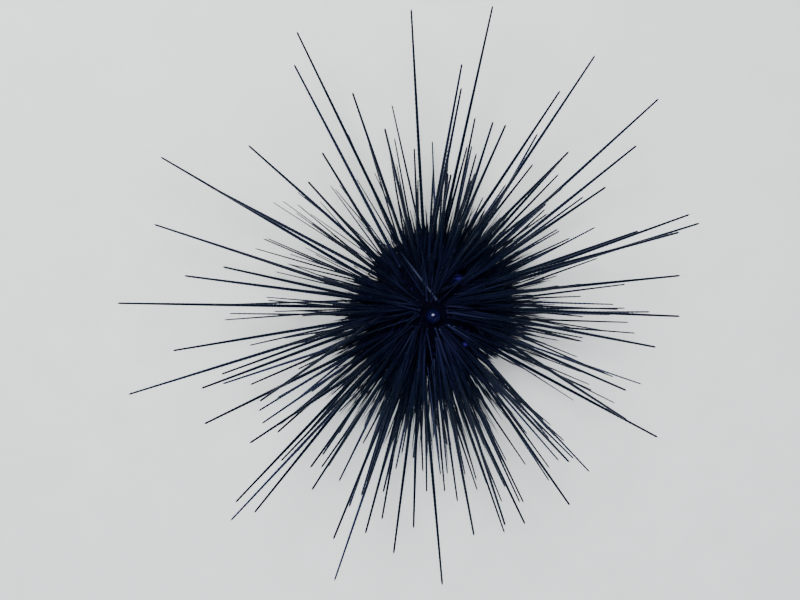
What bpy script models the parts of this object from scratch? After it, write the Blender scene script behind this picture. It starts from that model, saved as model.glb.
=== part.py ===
"""Long-spined sea urchin: a still, life-size model that stands on the tips of its oral spines.

Units are metres, +Z is up along the animal's axis, the floor is z = 0 and the origin is under the
middle of the spines' spread. The shell, called the test, is an oblate spheroid. Thin cuts part it
into five interambulacra and five ambulacra, each one solid with its own spines, round a core that
is the apical disc above and the peristome below. The anal cone sits on the apical disc, and the
teeth under the peristome. Everything is modelled about the middle of the test, and each finished
node is then placed by its location.
"""
import math
import random
from dataclasses import dataclass

import bmesh
import bpy
import numpy as np
from mathutils import Matrix, Vector

# The test: its radius at the ambitus, its rise above and drop below it, and its height over the floor
TEST_RADIUS = 0.030
TEST_RISE = 0.0165
TEST_DROP = 0.0135
TEST_HEIGHT = 0.029
TEST_SEGMENTS = 50
TEST_RINGS = 16
GAP = 0.0003

# The ten areas: the bearing of the first interambulacrum, and how wide each kind is
RAYS = 5
FIRST_BEARING = math.radians(52.0)
RAY_STEP = 2.0 * math.pi / RAYS
INTER_HALF_WIDTH = math.radians(22.5)
AMBULACRUM_HALF_WIDTH = RAY_STEP / 2.0 - INTER_HALF_WIDTH

# The core's flat sides lean out from the apical disc down to the wider peristome
APICAL_RADIUS = 0.0080
PERISTOME_RADIUS = 0.0120

# Five genital plates round the middle of the apical disc
PLATE_RING = 0.0056
PLATE_RADIUS = 0.0019
PLATE_RAISE = 0.0004
PLATE_SINK = 0.0015
PLATE_TAPER = 0.85
PLATE_SIDES = 7

# The anal cone: a soft bulb on the apical disc, with a low pore on its top
BULB_RADIUS = 0.0037
BULB_RAISE = 0.0029
BULB_SEGMENTS = 20
BULB_RINGS = 12
PORE_RADIUS = 0.0010
PORE_FOOT_RADIUS = 0.0014
PORE_RAISE = 0.0034
PORE_SIDES = 12

# Mouth: five teeth that meet in a point, and ten tufts of gills at the peristome's edge
TOOTH_COUNT = 5
TOOTH_LENGTH = 0.0050
TOOTH_THICK = 0.0011
TOOTH_THIN = 0.0003
TOOTH_SPREAD = 0.0021
TOOTH_CLOSING = 0.35
TOOTH_RING_RADIUS = 0.0034
TOOTH_RING_TAPER = 0.8
TOOTH_RING_DEPTH = 0.0012
TOOTH_RING_SIDES = 20
GILL_BEARING = math.radians(15.0)
GILL_RING = 0.0098
GILL_SINK = 0.0012
GILL_LEAN = 0.15
GILL_LENGTH = 0.0036
GILL_THICK = 0.00055
GILL_THIN = 0.00030
GILL_FAN = (-0.40, 0.40)

# Spines: how deep a root is sunk, how far apart two spines stay, and their radii
SINK = 0.0030
CLEAR = 0.0004
NEAR_REACH = 0.0080
NEAR_STEP = 0.0005
PRIMARY_SIDES = 5
SMALL_SIDES = 4
ROOT_RADIUS_SHORT = 0.00060
ROOT_RADIUS_PER_LENGTH = 0.0036
TIP_RADIUS = 0.00034
LOWEST_TIP = 0.0016

# Rows of primary spines down the test, in degrees of latitude, and their columns across an area
# as shares of its half width. The middle of an interambulacrum is bare near the apex.
INTER_ROWS = (
    (64.0, (-0.62, 0.62)),
    (53.0, (-0.74, 0.74)),
    (42.0, (-0.80, -0.42, 0.42, 0.80)),
    (31.0, (-0.84, -0.52, 0.52, 0.84)),
    (20.0, (-0.86, -0.46, 0.0, 0.46, 0.86)),
    (9.0, (-0.78, -0.34, 0.34, 0.78)),
    (-2.0, (-0.86, -0.46, 0.0, 0.46, 0.86)),
    (-13.0, (-0.78, -0.30, 0.30, 0.78)),
    (-24.0, (-0.80, -0.40, 0.0, 0.40, 0.80)),
    (-35.0, (-0.66, 0.0, 0.66)),
)
AMBULACRUM_ROWS = tuple((latitude, (-0.50, 0.50)) for latitude in range(62, -40, -10))
ROOT_JITTER = math.radians(1.2)

# How a spine at each latitude stands: its elevation in degrees and its usual length
STANCE_LATITUDES = (-60.0, -42.0, -35.0, -24.0, -13.0, -2.0, 9.0, 20.0, 31.0, 42.0, 53.0, 64.0)
STANCE_ELEVATIONS = (-66.0, -50.0, -19.0, -9.0, -2.0, 6.0, 14.0, 23.0, 33.0, 42.0, 50.0, 57.0)
STANCE_LENGTHS = (0.010, 0.013, 0.040, 0.052, 0.062, 0.068, 0.072, 0.078, 0.084, 0.088, 0.086, 0.076)
LENGTH_SPREAD = (0.66, 1.16)
FILL_TRIES = 12
FILL_SHORTENING = 0.04
ELEVATION_SPREAD = math.radians(7.0)
BEARING_SPREAD = math.radians(11.0)

# The longest spines, each as (bearing in degrees, reach in millimetres) from the anal cone, as
# they are seen from a point above the crown and a little to one side of it
LEADERS = (
    (0.3, 123), (9.7, 125), (19.2, 130), (19.6, 141), (22.0, 138), (23.0, 111), (37.3, 108), (40.4, 133),
    (44.3, 157), (51.0, 107), (58.5, 154), (61.0, 130), (69.7, 103), (79.4, 159), (83.3, 116),
    (83.8, 128), (94.3, 155), (104.7, 98), (110.0, 120), (115.7, 159), (119.0, 145), (124.2, 100),
    (132.9, 93), (137.2, 127), (149.6, 159), (149.7, 130), (161.6, 148), (166.5, 109), (170.5, 127),
    (177.4, 159), (187.2, 132), (194.1, 158), (196.9, 122), (204.8, 127), (205.6, 97), (214.2, 112),
    (222.9, 136), (224.9, 144), (227.3, 133), (234.6, 106), (245.5, 122), (249.2, 141), (260.2, 120),
    (271.7, 134), (280.3, 111), (288.8, 110), (293.7, 113), (305.8, 116), (313.0, 99), (331.8, 127),
    (332.0, 109), (339.2, 103), (352.4, 112),
)
VIEW_BEARING = math.radians(122.0)
VIEW_TILT = math.radians(12.0)
VIEW_DISTANCE = 0.650
VIEW_OFFSET = (-0.0172, 0.0088)
LEADER_SPAN = (0.138, 0.156)
LEADER_SPAN_STEP = 0.001
LEADER_SPAN_LIMIT = 0.172
LEADER_TRIES = 10

# Partings, where the spines leave the floor bare between two bundles, seen from the same point:
# each (bearing, half width) in degrees, from this reach outwards
PARTINGS = ((147.5, 3.0), (323.0, 4.5))
PARTING_REACH = 0.036

# Small spines between the long ones, and the short ones round the mouth
@dataclass(frozen=True)
class SmallSpines:
    """Where one kind of small spine grows, by latitude and share of an area's half width."""

    rows: tuple
    columns: dict
    lengths: tuple
    root_radius: float
    tip_radius: float


SECONDARY = SmallSpines(
    rows=(47.0, 36.0, 25.0, 14.0, 3.0, -8.0, -19.0, -30.0),
    columns={"interambulacrum": (-0.6, 0.6), "ambulacrum": (0.0,)},
    lengths=(0.010, 0.024),
    root_radius=0.00050,
    tip_radius=0.00034,
)
ORAL = SmallSpines(
    rows=(-44.0, -53.0, -60.0),
    columns={"interambulacrum": (-0.62, 0.0, 0.62), "ambulacrum": (-0.45, 0.45)},
    lengths=(0.008, 0.012),
    root_radius=0.00058,
    tip_radius=0.00044,
)
SMALL_LEAN = 0.30
SMALL_TRIES = 8
COLUMN_JITTER = 0.12
ROW_JITTER = 2.5

# The stout oral spines that the animal stands on
FOOT_LATITUDE = math.radians(-42.0)
FOOT_ELEVATION = math.radians(-60.0)
FOOT_JITTER = 0.1
FOOT_ROOT_RADIUS = 0.00095
FOOT_TIP_RADIUS = 0.00075
FOOT_OVERRUN = 0.0015

SEED = 20
FINISHES = {
    "interambulacrum": ((0.012, 0.012, 0.020, 1.0), 0.42),
    "ambulacrum": ((0.016, 0.013, 0.024, 1.0), 0.42),
    "apical_disc": ((0.020, 0.014, 0.026, 1.0), 0.55),
    "anal_cone": ((0.020, 0.035, 0.160, 1.0), 0.25),
    "peristome": ((0.030, 0.016, 0.024, 1.0), 0.60),
    "teeth": ((0.760, 0.720, 0.620, 1.0), 0.35),
}


@dataclass(frozen=True)
class Area:
    """One of the ten areas of the test, between two upright cuts."""

    name: str
    kind: str
    bearing: float
    half_width: float

    def walls(self):
        """The two cuts and the core's side, each as (point, normal that leads out of the area)."""
        for side in (-1.0, 1.0):
            edge = self.bearing + side * self.half_width
            normal = Vector((-math.sin(edge), math.cos(edge), 0.0)) * side
            yield -normal * GAP / 2.0, normal
        point, normal = core_side(self.bearing, self.half_width)
        yield point + normal * GAP / 2.0, -normal


@dataclass(frozen=True)
class Spine:
    """A straight, tapering spine, from where it leaves the test to its tip."""

    area: Area
    root: Vector
    tip: Vector
    root_radius: float
    tip_radius: float
    sides: int


def core_side(bearing, half_width):
    """A point on the core's flat side that faces an area, and the normal that leads out of the core."""
    shrink = math.cos(half_width)
    top = Vector((APICAL_RADIUS * shrink, 0.0, TEST_RISE))
    bottom = Vector((PERISTOME_RADIUS * shrink, 0.0, -TEST_DROP))
    slope = top - bottom
    normal = Vector((slope.z, 0.0, -slope.x)).normalized()
    turn = Matrix.Rotation(bearing, 3, "Z")
    return turn @ ((top + bottom) / 2.0), turn @ normal


def areas():
    """The ten areas in order round the test, from the first interambulacrum."""
    found = []
    for ray in range(RAYS):
        bearing = FIRST_BEARING + ray * RAY_STEP
        found.append(Area(f"interambulacrum_{ray + 1}", "interambulacrum", bearing, INTER_HALF_WIDTH))
        found.append(Area(f"ambulacrum_{ray + 1}", "ambulacrum", bearing + RAY_STEP / 2.0,
                          AMBULACRUM_HALF_WIDTH))
    return found


def test_point(bearing, latitude):
    """The point of the test's surface at a bearing and a latitude."""
    rise = TEST_RISE if latitude > 0.0 else TEST_DROP
    out = TEST_RADIUS * math.cos(latitude)
    return Vector((out * math.cos(bearing), out * math.sin(bearing), rise * math.sin(latitude)))


def test_normal(point):
    """The unit normal of the test at a point of its surface."""
    rise = TEST_RISE if point.z > 0.0 else TEST_DROP
    slope = Vector((point.x / TEST_RADIUS ** 2, point.y / TEST_RADIUS ** 2, point.z / rise ** 2))
    return slope.normalized()


def depth_outside(point):
    """How far a point is outside the test at least, negative inside it."""
    rise = TEST_RISE if point.z > 0.0 else TEST_DROP
    scaled = Vector((point.x / TEST_RADIUS, point.y / TEST_RADIUS, point.z / rise))
    return (scaled.length - 1.0) * rise


def heading(bearing, elevation):
    """The unit vector at a bearing and an elevation."""
    flat = math.cos(elevation)
    return Vector((flat * math.cos(bearing), flat * math.sin(bearing), math.sin(elevation)))


def stands_free(spine):
    """Whether a spine's root stays inside its own area and its shaft clears the areas beside it."""
    axis = (spine.tip - spine.root).normalized()
    room = spine.root_radius + GAP
    for point, normal in spine.area.walls():
        for along in np.arange(-SINK, NEAR_REACH, NEAR_STEP):
            place = spine.root + axis * float(along)
            inside = (point - place).dot(normal)
            if inside < room and (along <= 0.0 or depth_outside(place) < room):
                return False
    return True


class Coat:
    """The spines that are set so far, and the test whether another one clears them."""

    def __init__(self):
        self.spines = []

    def clears(self, spine):
        """Whether a spine keeps its distance to all the others."""
        if not self.spines:
            return True
        roots = np.array([other.root for other in self.spines])
        shafts = np.array([other.tip for other in self.spines]) - roots
        thick = np.array([other.root_radius for other in self.spines])
        thin = np.array([other.tip_radius for other in self.spines])
        shaft = np.array(spine.tip - spine.root)
        between = np.array(spine.root) - roots
        square = shaft @ shaft
        squares = np.sum(shafts * shafts, axis=1)
        cross = shafts @ shaft
        own = between @ shaft
        other = np.sum(shafts * between, axis=1)
        spread = np.maximum(square * squares - cross * cross, 1e-14)
        along = np.clip((cross * other - own * squares) / spread, 0.0, 1.0)
        beside = np.clip((cross * along + other) / squares, 0.0, 1.0)
        along = np.clip((cross * beside - own) / square, 0.0, 1.0)
        away = between + along[:, None] * shaft - beside[:, None] * shafts
        room = spine.root_radius + along * (spine.tip_radius - spine.root_radius)
        room = room + thick + beside * (thin - thick) + CLEAR
        return bool(np.all(np.sum(away * away, axis=1) > room * room))

    def add(self, spine):
        """Set a spine if it stands free and clears the others; return whether it was set."""
        if spine.tip.z < LOWEST_TIP - TEST_HEIGHT:
            return False
        if not stands_free(spine) or not self.clears(spine):
            return False
        self.spines.append(spine)
        return True


def shaft_radius(length):
    """The radius of a primary spine where it leaves the test."""
    return ROOT_RADIUS_SHORT + ROOT_RADIUS_PER_LENGTH * length


def set_feet(coat, all_areas, draw):
    """Stand the test on one stout oral spine in each area, cut off flat at the floor later."""
    for area in all_areas:
        bearing = area.bearing + draw.uniform(-FOOT_JITTER, FOOT_JITTER) * area.half_width
        root = test_point(bearing, FOOT_LATITUDE)
        axis = heading(bearing, FOOT_ELEVATION)
        tip = root + axis * ((root.z + TEST_HEIGHT) / -axis.z + FOOT_OVERRUN)
        coat.spines.append(Spine(area, root, tip, FOOT_ROOT_RADIUS, FOOT_TIP_RADIUS, PRIMARY_SIDES))


def primary_slots(all_areas, draw):
    """Every place where a primary spine can grow, as (area, bearing, latitude)."""
    slots = []
    for area in all_areas:
        rows = INTER_ROWS if area.kind == "interambulacrum" else AMBULACRUM_ROWS
        for latitude, columns in rows:
            for column in columns:
                bearing = area.bearing + column * area.half_width
                level = math.radians(latitude) + draw.uniform(-ROOT_JITTER, ROOT_JITTER)
                slots.append((area, bearing, level))
    return slots


class Viewpoint:
    """The point above the crown from which bearings and reaches are read, round the anal cone."""

    def __init__(self):
        self.crown = Vector((0.0, 0.0, TEST_RISE + BULB_RAISE + BULB_RADIUS))
        self.toward = heading(VIEW_BEARING, math.pi / 2.0 - VIEW_TILT)
        turn = Vector((0.0, 0.0, 1.0)).rotation_difference(self.toward)
        self.right = turn @ Vector((1.0, 0.0, 0.0))
        self.up = turn @ Vector((0.0, 1.0, 0.0))
        offset = self.right * VIEW_OFFSET[0] + self.up * VIEW_OFFSET[1]
        self.eye = self.crown + self.toward * VIEW_DISTANCE + offset

    def seen(self, point):
        """The bearing in degrees and the reach at which a point is seen."""
        sight = point - self.eye
        sight = sight * (VIEW_DISTANCE / -sight.dot(self.toward))
        flat = self.eye + sight - self.crown
        across = flat.dot(self.right)
        above = flat.dot(self.up)
        return math.degrees(math.atan2(above, across)) % 360.0, math.hypot(across, above)

    def leader_tip(self, bearing, reach, span):
        """Where a leader's tip is, span away from the middle of the test and over the floor."""
        shown = self.right * math.cos(bearing) + self.up * math.sin(bearing)
        sight = (self.crown + shown * reach - self.eye).normalized()
        nearest = -self.eye.dot(sight)
        miss = (self.eye + sight * nearest).length
        while span < LEADER_SPAN_LIMIT:
            if span > miss:
                tip = self.eye + sight * (nearest - math.sqrt(span * span - miss * miss))
                if tip.z > LOWEST_TIP - TEST_HEIGHT:
                    return tip
            span += LEADER_SPAN_STEP
        return None

    def in_parting(self, spine):
        """Whether the outer half of a spine is seen in one of the partings."""
        for share in (0.5, 0.75, 1.0):
            bearing, reach = self.seen(spine.root.lerp(spine.tip, share))
            for middle, half_width in PARTINGS:
                if reach > PARTING_REACH and abs(bearing - middle) < half_width:
                    return True
        return False


def set_leaders(coat, slots, view, draw):
    """Set the longest spines, each in the free place that suits its tip best."""
    for degrees, millimetres in LEADERS:
        for attempt in range(LEADER_TRIES):
            span = draw.uniform(*LEADER_SPAN)
            tip = view.leader_tip(math.radians(degrees), millimetres / 1000.0, span)
            if tip is None:
                continue
            elevation = math.degrees(math.asin(tip.z / tip.length))
            level = math.radians(np.interp(elevation, STANCE_ELEVATIONS, STANCE_LATITUDES))
            bearing = math.atan2(tip.y, tip.x)
            spot = test_point(bearing, level)
            ranked = sorted(slots, key=lambda slot: (test_point(slot[1], slot[2]) - spot).length)
            slot = ranked[attempt]
            root = test_point(slot[1], slot[2])
            radius = shaft_radius((tip - root).length)
            if coat.add(Spine(slot[0], root, tip, radius, TIP_RADIUS, PRIMARY_SIDES)):
                slots.remove(slot)
                break


def set_primaries(coat, slots, view, draw):
    """Fill the places that are left with spines of the usual length at their latitude."""
    for area, bearing, level in slots:
        latitude = math.degrees(level)
        stance = math.radians(np.interp(latitude, STANCE_LATITUDES, STANCE_ELEVATIONS))
        usual = float(np.interp(latitude, STANCE_LATITUDES, STANCE_LENGTHS))
        root = test_point(bearing, level)
        for attempt in range(FILL_TRIES):
            elevation = stance + draw.uniform(-ELEVATION_SPREAD, ELEVATION_SPREAD)
            lean = bearing + draw.uniform(-BEARING_SPREAD, BEARING_SPREAD)
            length = usual * draw.uniform(*LENGTH_SPREAD) * (1.0 - attempt * FILL_SHORTENING)
            tip = root + heading(lean, elevation) * length
            spine = Spine(area, root, tip, shaft_radius(length), TIP_RADIUS, PRIMARY_SIDES)
            if not view.in_parting(spine) and coat.add(spine):
                break


def set_small_spines(coat, all_areas, kind, draw):
    """Set the small spines of one kind, each near the normal of the test at its root."""
    for area in all_areas:
        for latitude in kind.rows:
            for column in kind.columns[area.kind]:
                for attempt in range(SMALL_TRIES):
                    shift = column + draw.uniform(-COLUMN_JITTER, COLUMN_JITTER)
                    level = math.radians(latitude + draw.uniform(-ROW_JITTER, ROW_JITTER))
                    root = test_point(area.bearing + shift * area.half_width, level)
                    scatter = Vector([draw.uniform(-SMALL_LEAN, SMALL_LEAN) for axis in range(3)])
                    axis = (test_normal(root) + scatter).normalized()
                    tip = root + axis * draw.uniform(*kind.lengths)
                    spine = Spine(area, root, tip, kind.root_radius, kind.tip_radius, SMALL_SIDES)
                    if coat.add(spine):
                        break


def lay_out_spines(all_areas):
    """Every spine of the animal, in a fixed order from one seed."""
    draw = random.Random(SEED)
    coat = Coat()
    set_feet(coat, all_areas, draw)
    slots = primary_slots(all_areas, draw)
    view = Viewpoint()
    set_leaders(coat, slots, view, draw)
    set_primaries(coat, slots, view, draw)
    set_small_spines(coat, all_areas, ORAL, draw)
    set_small_spines(coat, all_areas, SECONDARY, draw)
    return coat.spines


def make_object(name, bm, collection):
    """An object with the bmesh as its mesh, faces outwards, in a collection."""
    bmesh.ops.recalc_face_normals(bm, faces=bm.faces)
    mesh = bpy.data.meshes.new(name)
    bm.to_mesh(mesh)
    bm.free()
    item = bpy.data.objects.new(name, mesh)
    collection.objects.link(item)
    return item


def cut(bm, point, normal):
    """Cut a closed form with a plane, drop the side that the normal points to, and close it."""
    geometry = bm.verts[:] + bm.edges[:] + bm.faces[:]
    bmesh.ops.bisect_plane(bm, geom=geometry, dist=1e-7, plane_co=point, plane_no=normal,
                           clear_outer=True)
    rim = [edge for edge in bm.edges if edge.is_boundary]
    if rim:
        bmesh.ops.holes_fill(bm, edges=rim, sides=0)


def whole_test():
    """The test as one closed spheroid, higher above the ambitus than below it."""
    bm = bmesh.new()
    bmesh.ops.create_uvsphere(bm, u_segments=TEST_SEGMENTS, v_segments=TEST_RINGS, radius=1.0)
    for vertex in bm.verts:
        vertex.co.x *= TEST_RADIUS
        vertex.co.y *= TEST_RADIUS
        vertex.co.z *= TEST_RISE if vertex.co.z > 0.0 else TEST_DROP
    return bm


def area_body(area, collection):
    """The wedge of the test that belongs to one area."""
    bm = whole_test()
    for point, normal in area.walls():
        cut(bm, point, normal)
    return make_object(area.name, bm, collection)


def core_body(name, all_areas, side, collection):
    """The half of the core above (side 1) or below (side -1) the ambitus."""
    bm = whole_test()
    for area in all_areas:
        point, normal = core_side(area.bearing, area.half_width)
        cut(bm, point - normal * GAP / 2.0, normal)
    down = Vector((0.0, 0.0, -side))
    cut(bm, -down * GAP / 2.0, down)
    return make_object(name, bm, collection)


def cone_object(name, start, end, start_radius, end_radius, sides, collection):
    """A closed, tapering rod between two points."""
    shaft = end - start
    turn = shaft.to_track_quat("Z", "Y").to_matrix().to_4x4()
    bm = bmesh.new()
    bmesh.ops.create_cone(bm, cap_ends=True, cap_tris=False, segments=sides, radius1=start_radius,
                          radius2=end_radius, depth=shaft.length,
                          matrix=Matrix.Translation((start + end) / 2.0) @ turn)
    return make_object(name, bm, collection)


def spine_object(spine, collection):
    """One spine with its sunk root, cut off flat where it would pass the floor."""
    axis = (spine.tip - spine.root).normalized()
    item = cone_object("spine", spine.root - axis * SINK, spine.tip, spine.root_radius,
                       spine.tip_radius, spine.sides, collection)
    if spine.tip.z < -TEST_HEIGHT:
        bm = bmesh.new()
        bm.from_mesh(item.data)
        cut(bm, Vector((0.0, 0.0, -TEST_HEIGHT)), Vector((0.0, 0.0, -1.0)))
        bm.to_mesh(item.data)
        bm.free()
    return item


def keep_largest(mesh):
    """Drop every closed surface of a mesh but the one with the most faces."""
    bm = bmesh.new()
    bm.from_mesh(mesh)
    unseen = set(bm.faces)
    shells = []
    while unseen:
        shell = set()
        edge_of_shell = [unseen.pop()]
        while edge_of_shell:
            face = edge_of_shell.pop()
            shell.add(face)
            for edge in face.edges:
                for other in edge.link_faces:
                    if other in unseen:
                        unseen.remove(other)
                        edge_of_shell.append(other)
        shells.append(shell)
    largest = max(shells, key=len)
    loose = [face for face in bm.faces if face not in largest]
    bmesh.ops.delete(bm, geom=loose, context="FACES")
    bm.to_mesh(mesh)
    bm.free()


def fuse(base, pieces):
    """Join a collection of closed pieces to a body with one Boolean union."""
    union = base.modifiers.new("union", "BOOLEAN")
    union.operation = "UNION"
    union.operand_type = "COLLECTION"
    union.collection = pieces
    union.solver = "MANIFOLD"
    graph = bpy.context.evaluated_depsgraph_get()
    joined = bpy.data.meshes.new_from_object(base.evaluated_get(graph))
    base.modifiers.remove(union)
    base.data = joined
    for piece in list(pieces.objects):
        bpy.data.objects.remove(piece)
    bpy.data.collections.remove(pieces)
    keep_largest(base.data)


def pieces_collection(name):
    """A new collection for the pieces that one union joins."""
    pieces = bpy.data.collections.new(name)
    bpy.context.scene.collection.children.link(pieces)
    return pieces


def apical_disc(all_areas, collection):
    """The plate of skin and calcite round the anal cone, with five raised genital plates."""
    disc = core_body("apical_disc", all_areas, 1.0, collection)
    pieces = pieces_collection("genital_plates")
    rise = TEST_RISE * math.sqrt(1.0 - (PLATE_RING / TEST_RADIUS) ** 2)
    for plate in range(RAYS):
        place = heading(FIRST_BEARING + plate * RAY_STEP, 0.0) * PLATE_RING
        foot = place + Vector((0.0, 0.0, rise - PLATE_SINK))
        top = place + Vector((0.0, 0.0, rise + PLATE_RAISE))
        cone_object("plate", foot, top, PLATE_RADIUS, PLATE_RADIUS * PLATE_TAPER, PLATE_SIDES, pieces)
    fuse(disc, pieces)
    return disc


def anal_cone(collection):
    """The bulb on the apical disc, with its pore as a low ring on top."""
    bm = bmesh.new()
    bmesh.ops.create_uvsphere(bm, u_segments=BULB_SEGMENTS, v_segments=BULB_RINGS, radius=BULB_RADIUS)
    bmesh.ops.translate(bm, verts=bm.verts, vec=Vector((0.0, 0.0, TEST_RISE + BULB_RAISE)))
    cut(bm, Vector((0.0, 0.0, TEST_RISE + GAP)), Vector((0.0, 0.0, -1.0)))
    bulb = make_object("anal_cone", bm, collection)
    pieces = pieces_collection("anal_cone_pieces")
    foot = Vector((0.0, 0.0, TEST_RISE + BULB_RAISE + PORE_RAISE / 2.0))
    top = Vector((0.0, 0.0, TEST_RISE + BULB_RAISE + PORE_RAISE + PORE_RADIUS))
    cone_object("pore", foot, top, PORE_FOOT_RADIUS, PORE_RADIUS, PORE_SIDES, pieces)
    fuse(bulb, pieces)
    return bulb


def peristome(all_areas, collection):
    """The mouth's membrane, with ten tufts of gills at its edge."""
    disc = core_body("peristome", all_areas, -1.0, collection)
    pieces = pieces_collection("gills")
    for area in all_areas:
        if area.kind != "interambulacrum":
            continue
        for side in (-1.0, 1.0):
            bearing = area.bearing + side * GILL_BEARING
            out = heading(bearing, 0.0)
            across = Vector((-math.sin(bearing), math.cos(bearing), 0.0))
            rise = TEST_DROP * math.sqrt(1.0 - (GILL_RING / TEST_RADIUS) ** 2)
            root = out * GILL_RING + Vector((0.0, 0.0, GILL_SINK - rise))
            for fan in GILL_FAN:
                axis = (across * fan - out * GILL_LEAN + Vector((0.0, 0.0, -1.0))).normalized()
                cone_object("gill", root, root + axis * GILL_LENGTH, GILL_THICK, GILL_THIN,
                            SMALL_SIDES, pieces)
    fuse(disc, pieces)
    return disc


def teeth(collection):
    """Five teeth that lean together under a shallow ring, a gap below the peristome."""
    top = -TEST_DROP - GAP
    ring = cone_object("teeth", Vector((0.0, 0.0, top - TOOTH_RING_DEPTH)), Vector((0.0, 0.0, top)),
                       TOOTH_RING_RADIUS * TOOTH_RING_TAPER, TOOTH_RING_RADIUS, TOOTH_RING_SIDES,
                       collection)
    pieces = pieces_collection("tooth_pieces")
    for tooth in range(TOOTH_COUNT):
        out = heading(FIRST_BEARING + tooth * RAY_STEP, 0.0)
        root = out * TOOTH_SPREAD + Vector((0.0, 0.0, top - TOOTH_RING_DEPTH / 2.0))
        point = out * TOOTH_SPREAD * TOOTH_CLOSING + Vector((0.0, 0.0, top - TOOTH_LENGTH))
        cone_object("tooth", root, point, TOOTH_THICK, TOOTH_THIN, SMALL_SIDES, pieces)
    fuse(ring, pieces)
    return ring


def finish(item, kind):
    """Give a node its own material."""
    colour, roughness = FINISHES[kind]
    material = bpy.data.materials.new(item.name)
    material.use_nodes = True
    shader = material.node_tree.nodes["Principled BSDF"]
    shader.inputs["Base Color"].default_value = colour
    shader.inputs["Roughness"].default_value = roughness
    shader.inputs["Metallic"].default_value = 0.0
    item.data.materials.clear()
    item.data.materials.append(material)


def spread_middle(spines):
    """The middle of the spines' spread over the floor, seen from above."""
    ends = [spine.tip for spine in spines] + [spine.root for spine in spines]
    middle_x = (min(end.x for end in ends) + max(end.x for end in ends)) / 2.0
    middle_y = (min(end.y for end in ends) + max(end.y for end in ends)) / 2.0
    return middle_x, middle_y


def main():
    """Model the animal, one object for each named part."""
    for item in list(bpy.data.objects):
        bpy.data.objects.remove(item)
    collection = bpy.data.collections.new("long_spined_urchin")
    bpy.context.scene.collection.children.link(collection)
    all_areas = areas()
    spines = lay_out_spines(all_areas)
    nodes = []
    for area in all_areas:
        body = area_body(area, collection)
        pieces = pieces_collection(area.name + "_spines")
        for spine in spines:
            if spine.area is area:
                spine_object(spine, pieces)
        fuse(body, pieces)
        nodes.append((body, area.kind))
    nodes.append((apical_disc(all_areas, collection), "apical_disc"))
    nodes.append((anal_cone(collection), "anal_cone"))
    nodes.append((peristome(all_areas, collection), "peristome"))
    nodes.append((teeth(collection), "teeth"))
    middle_x, middle_y = spread_middle(spines)
    for item, kind in nodes:
        finish(item, kind)
        item.location = (-middle_x, -middle_y, TEST_HEIGHT)


main()
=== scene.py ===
"""The looks of a black long-spined sea urchin, life size, standing on its oral spines.

One skin covers the whole test. Barbed primary spines, fine secondary and miliary spines, the anal
cone, tube feet, gills, pincers and the mouth are set on it, on the same plan as the solid model.
Units are metres and +Z is up along the animal's axis. Everything is modelled about the middle of
the test and then moved to its place over the floor.
"""

import logging
import math
import random
from dataclasses import dataclass, field, replace
from enum import Enum
from typing import Iterator

import bmesh
import bpy
import numpy as np
from mathutils import Matrix, Vector
from mathutils.kdtree import KDTree


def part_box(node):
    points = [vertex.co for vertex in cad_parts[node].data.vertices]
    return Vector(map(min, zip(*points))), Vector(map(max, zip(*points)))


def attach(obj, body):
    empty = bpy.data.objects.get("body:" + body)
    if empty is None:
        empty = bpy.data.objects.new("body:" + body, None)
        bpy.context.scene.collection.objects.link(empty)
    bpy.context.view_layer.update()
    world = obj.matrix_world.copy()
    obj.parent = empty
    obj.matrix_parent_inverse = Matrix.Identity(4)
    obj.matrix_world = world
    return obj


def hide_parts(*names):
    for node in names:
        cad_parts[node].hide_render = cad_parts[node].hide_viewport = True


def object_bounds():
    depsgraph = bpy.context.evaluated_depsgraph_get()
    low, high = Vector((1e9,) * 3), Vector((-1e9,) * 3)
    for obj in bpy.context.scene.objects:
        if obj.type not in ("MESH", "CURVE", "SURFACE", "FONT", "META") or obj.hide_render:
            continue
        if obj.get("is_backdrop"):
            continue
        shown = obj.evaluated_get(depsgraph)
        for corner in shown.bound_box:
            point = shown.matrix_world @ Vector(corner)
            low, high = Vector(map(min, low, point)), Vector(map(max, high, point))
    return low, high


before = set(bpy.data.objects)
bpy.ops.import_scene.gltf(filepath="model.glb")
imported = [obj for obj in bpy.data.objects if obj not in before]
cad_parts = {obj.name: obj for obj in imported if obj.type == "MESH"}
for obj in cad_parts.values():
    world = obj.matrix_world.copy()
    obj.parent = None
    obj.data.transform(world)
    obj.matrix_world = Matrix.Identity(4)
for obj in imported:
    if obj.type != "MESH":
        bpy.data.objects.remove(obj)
CAD_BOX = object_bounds()
BODY = "root"
LOG = logging.getLogger("urchin")
MM = 0.001
FULL_TURN = 2.0 * math.pi

# How near two vertices count as one, in a finished mesh and in a form that is being turned or cut
DOUBLES = 1e-6
SAME_POINT = 1e-7

Pair = tuple[float, float]
Triple = tuple[float, float, float]
Triples = tuple[Triple, ...]
Numbers = tuple[float, ...]


class AreaKind(Enum):
    """The two kinds of area that take turns round the test."""

    INTERAMBULACRUM = "interambulacrum"
    AMBULACRUM = "ambulacrum"


class Slot(Enum):
    """The record's material slots."""

    TEST = "test_and_spines"
    APICAL = "apical_disc"
    CONE = "anal_cone"
    PERISTOME = "peristome"
    TEETH = "teeth"


def heading(bearing: float, elevation: float = 0.0) -> Vector:
    """The unit vector at a bearing and an elevation, in radians."""
    flat = math.cos(elevation)
    return Vector((flat * math.cos(bearing), flat * math.sin(bearing), math.sin(elevation)))


def upright(height: float) -> Vector:
    """The vector straight up to a height."""
    return Vector((0.0, 0.0, height))


def leaning(axis: Vector, lean: float, draw: random.Random) -> Vector:
    """A unit vector near another one."""
    scatter = Vector([draw.uniform(-lean, lean) for side in range(3)])
    return (axis + scatter).normalized()


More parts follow.
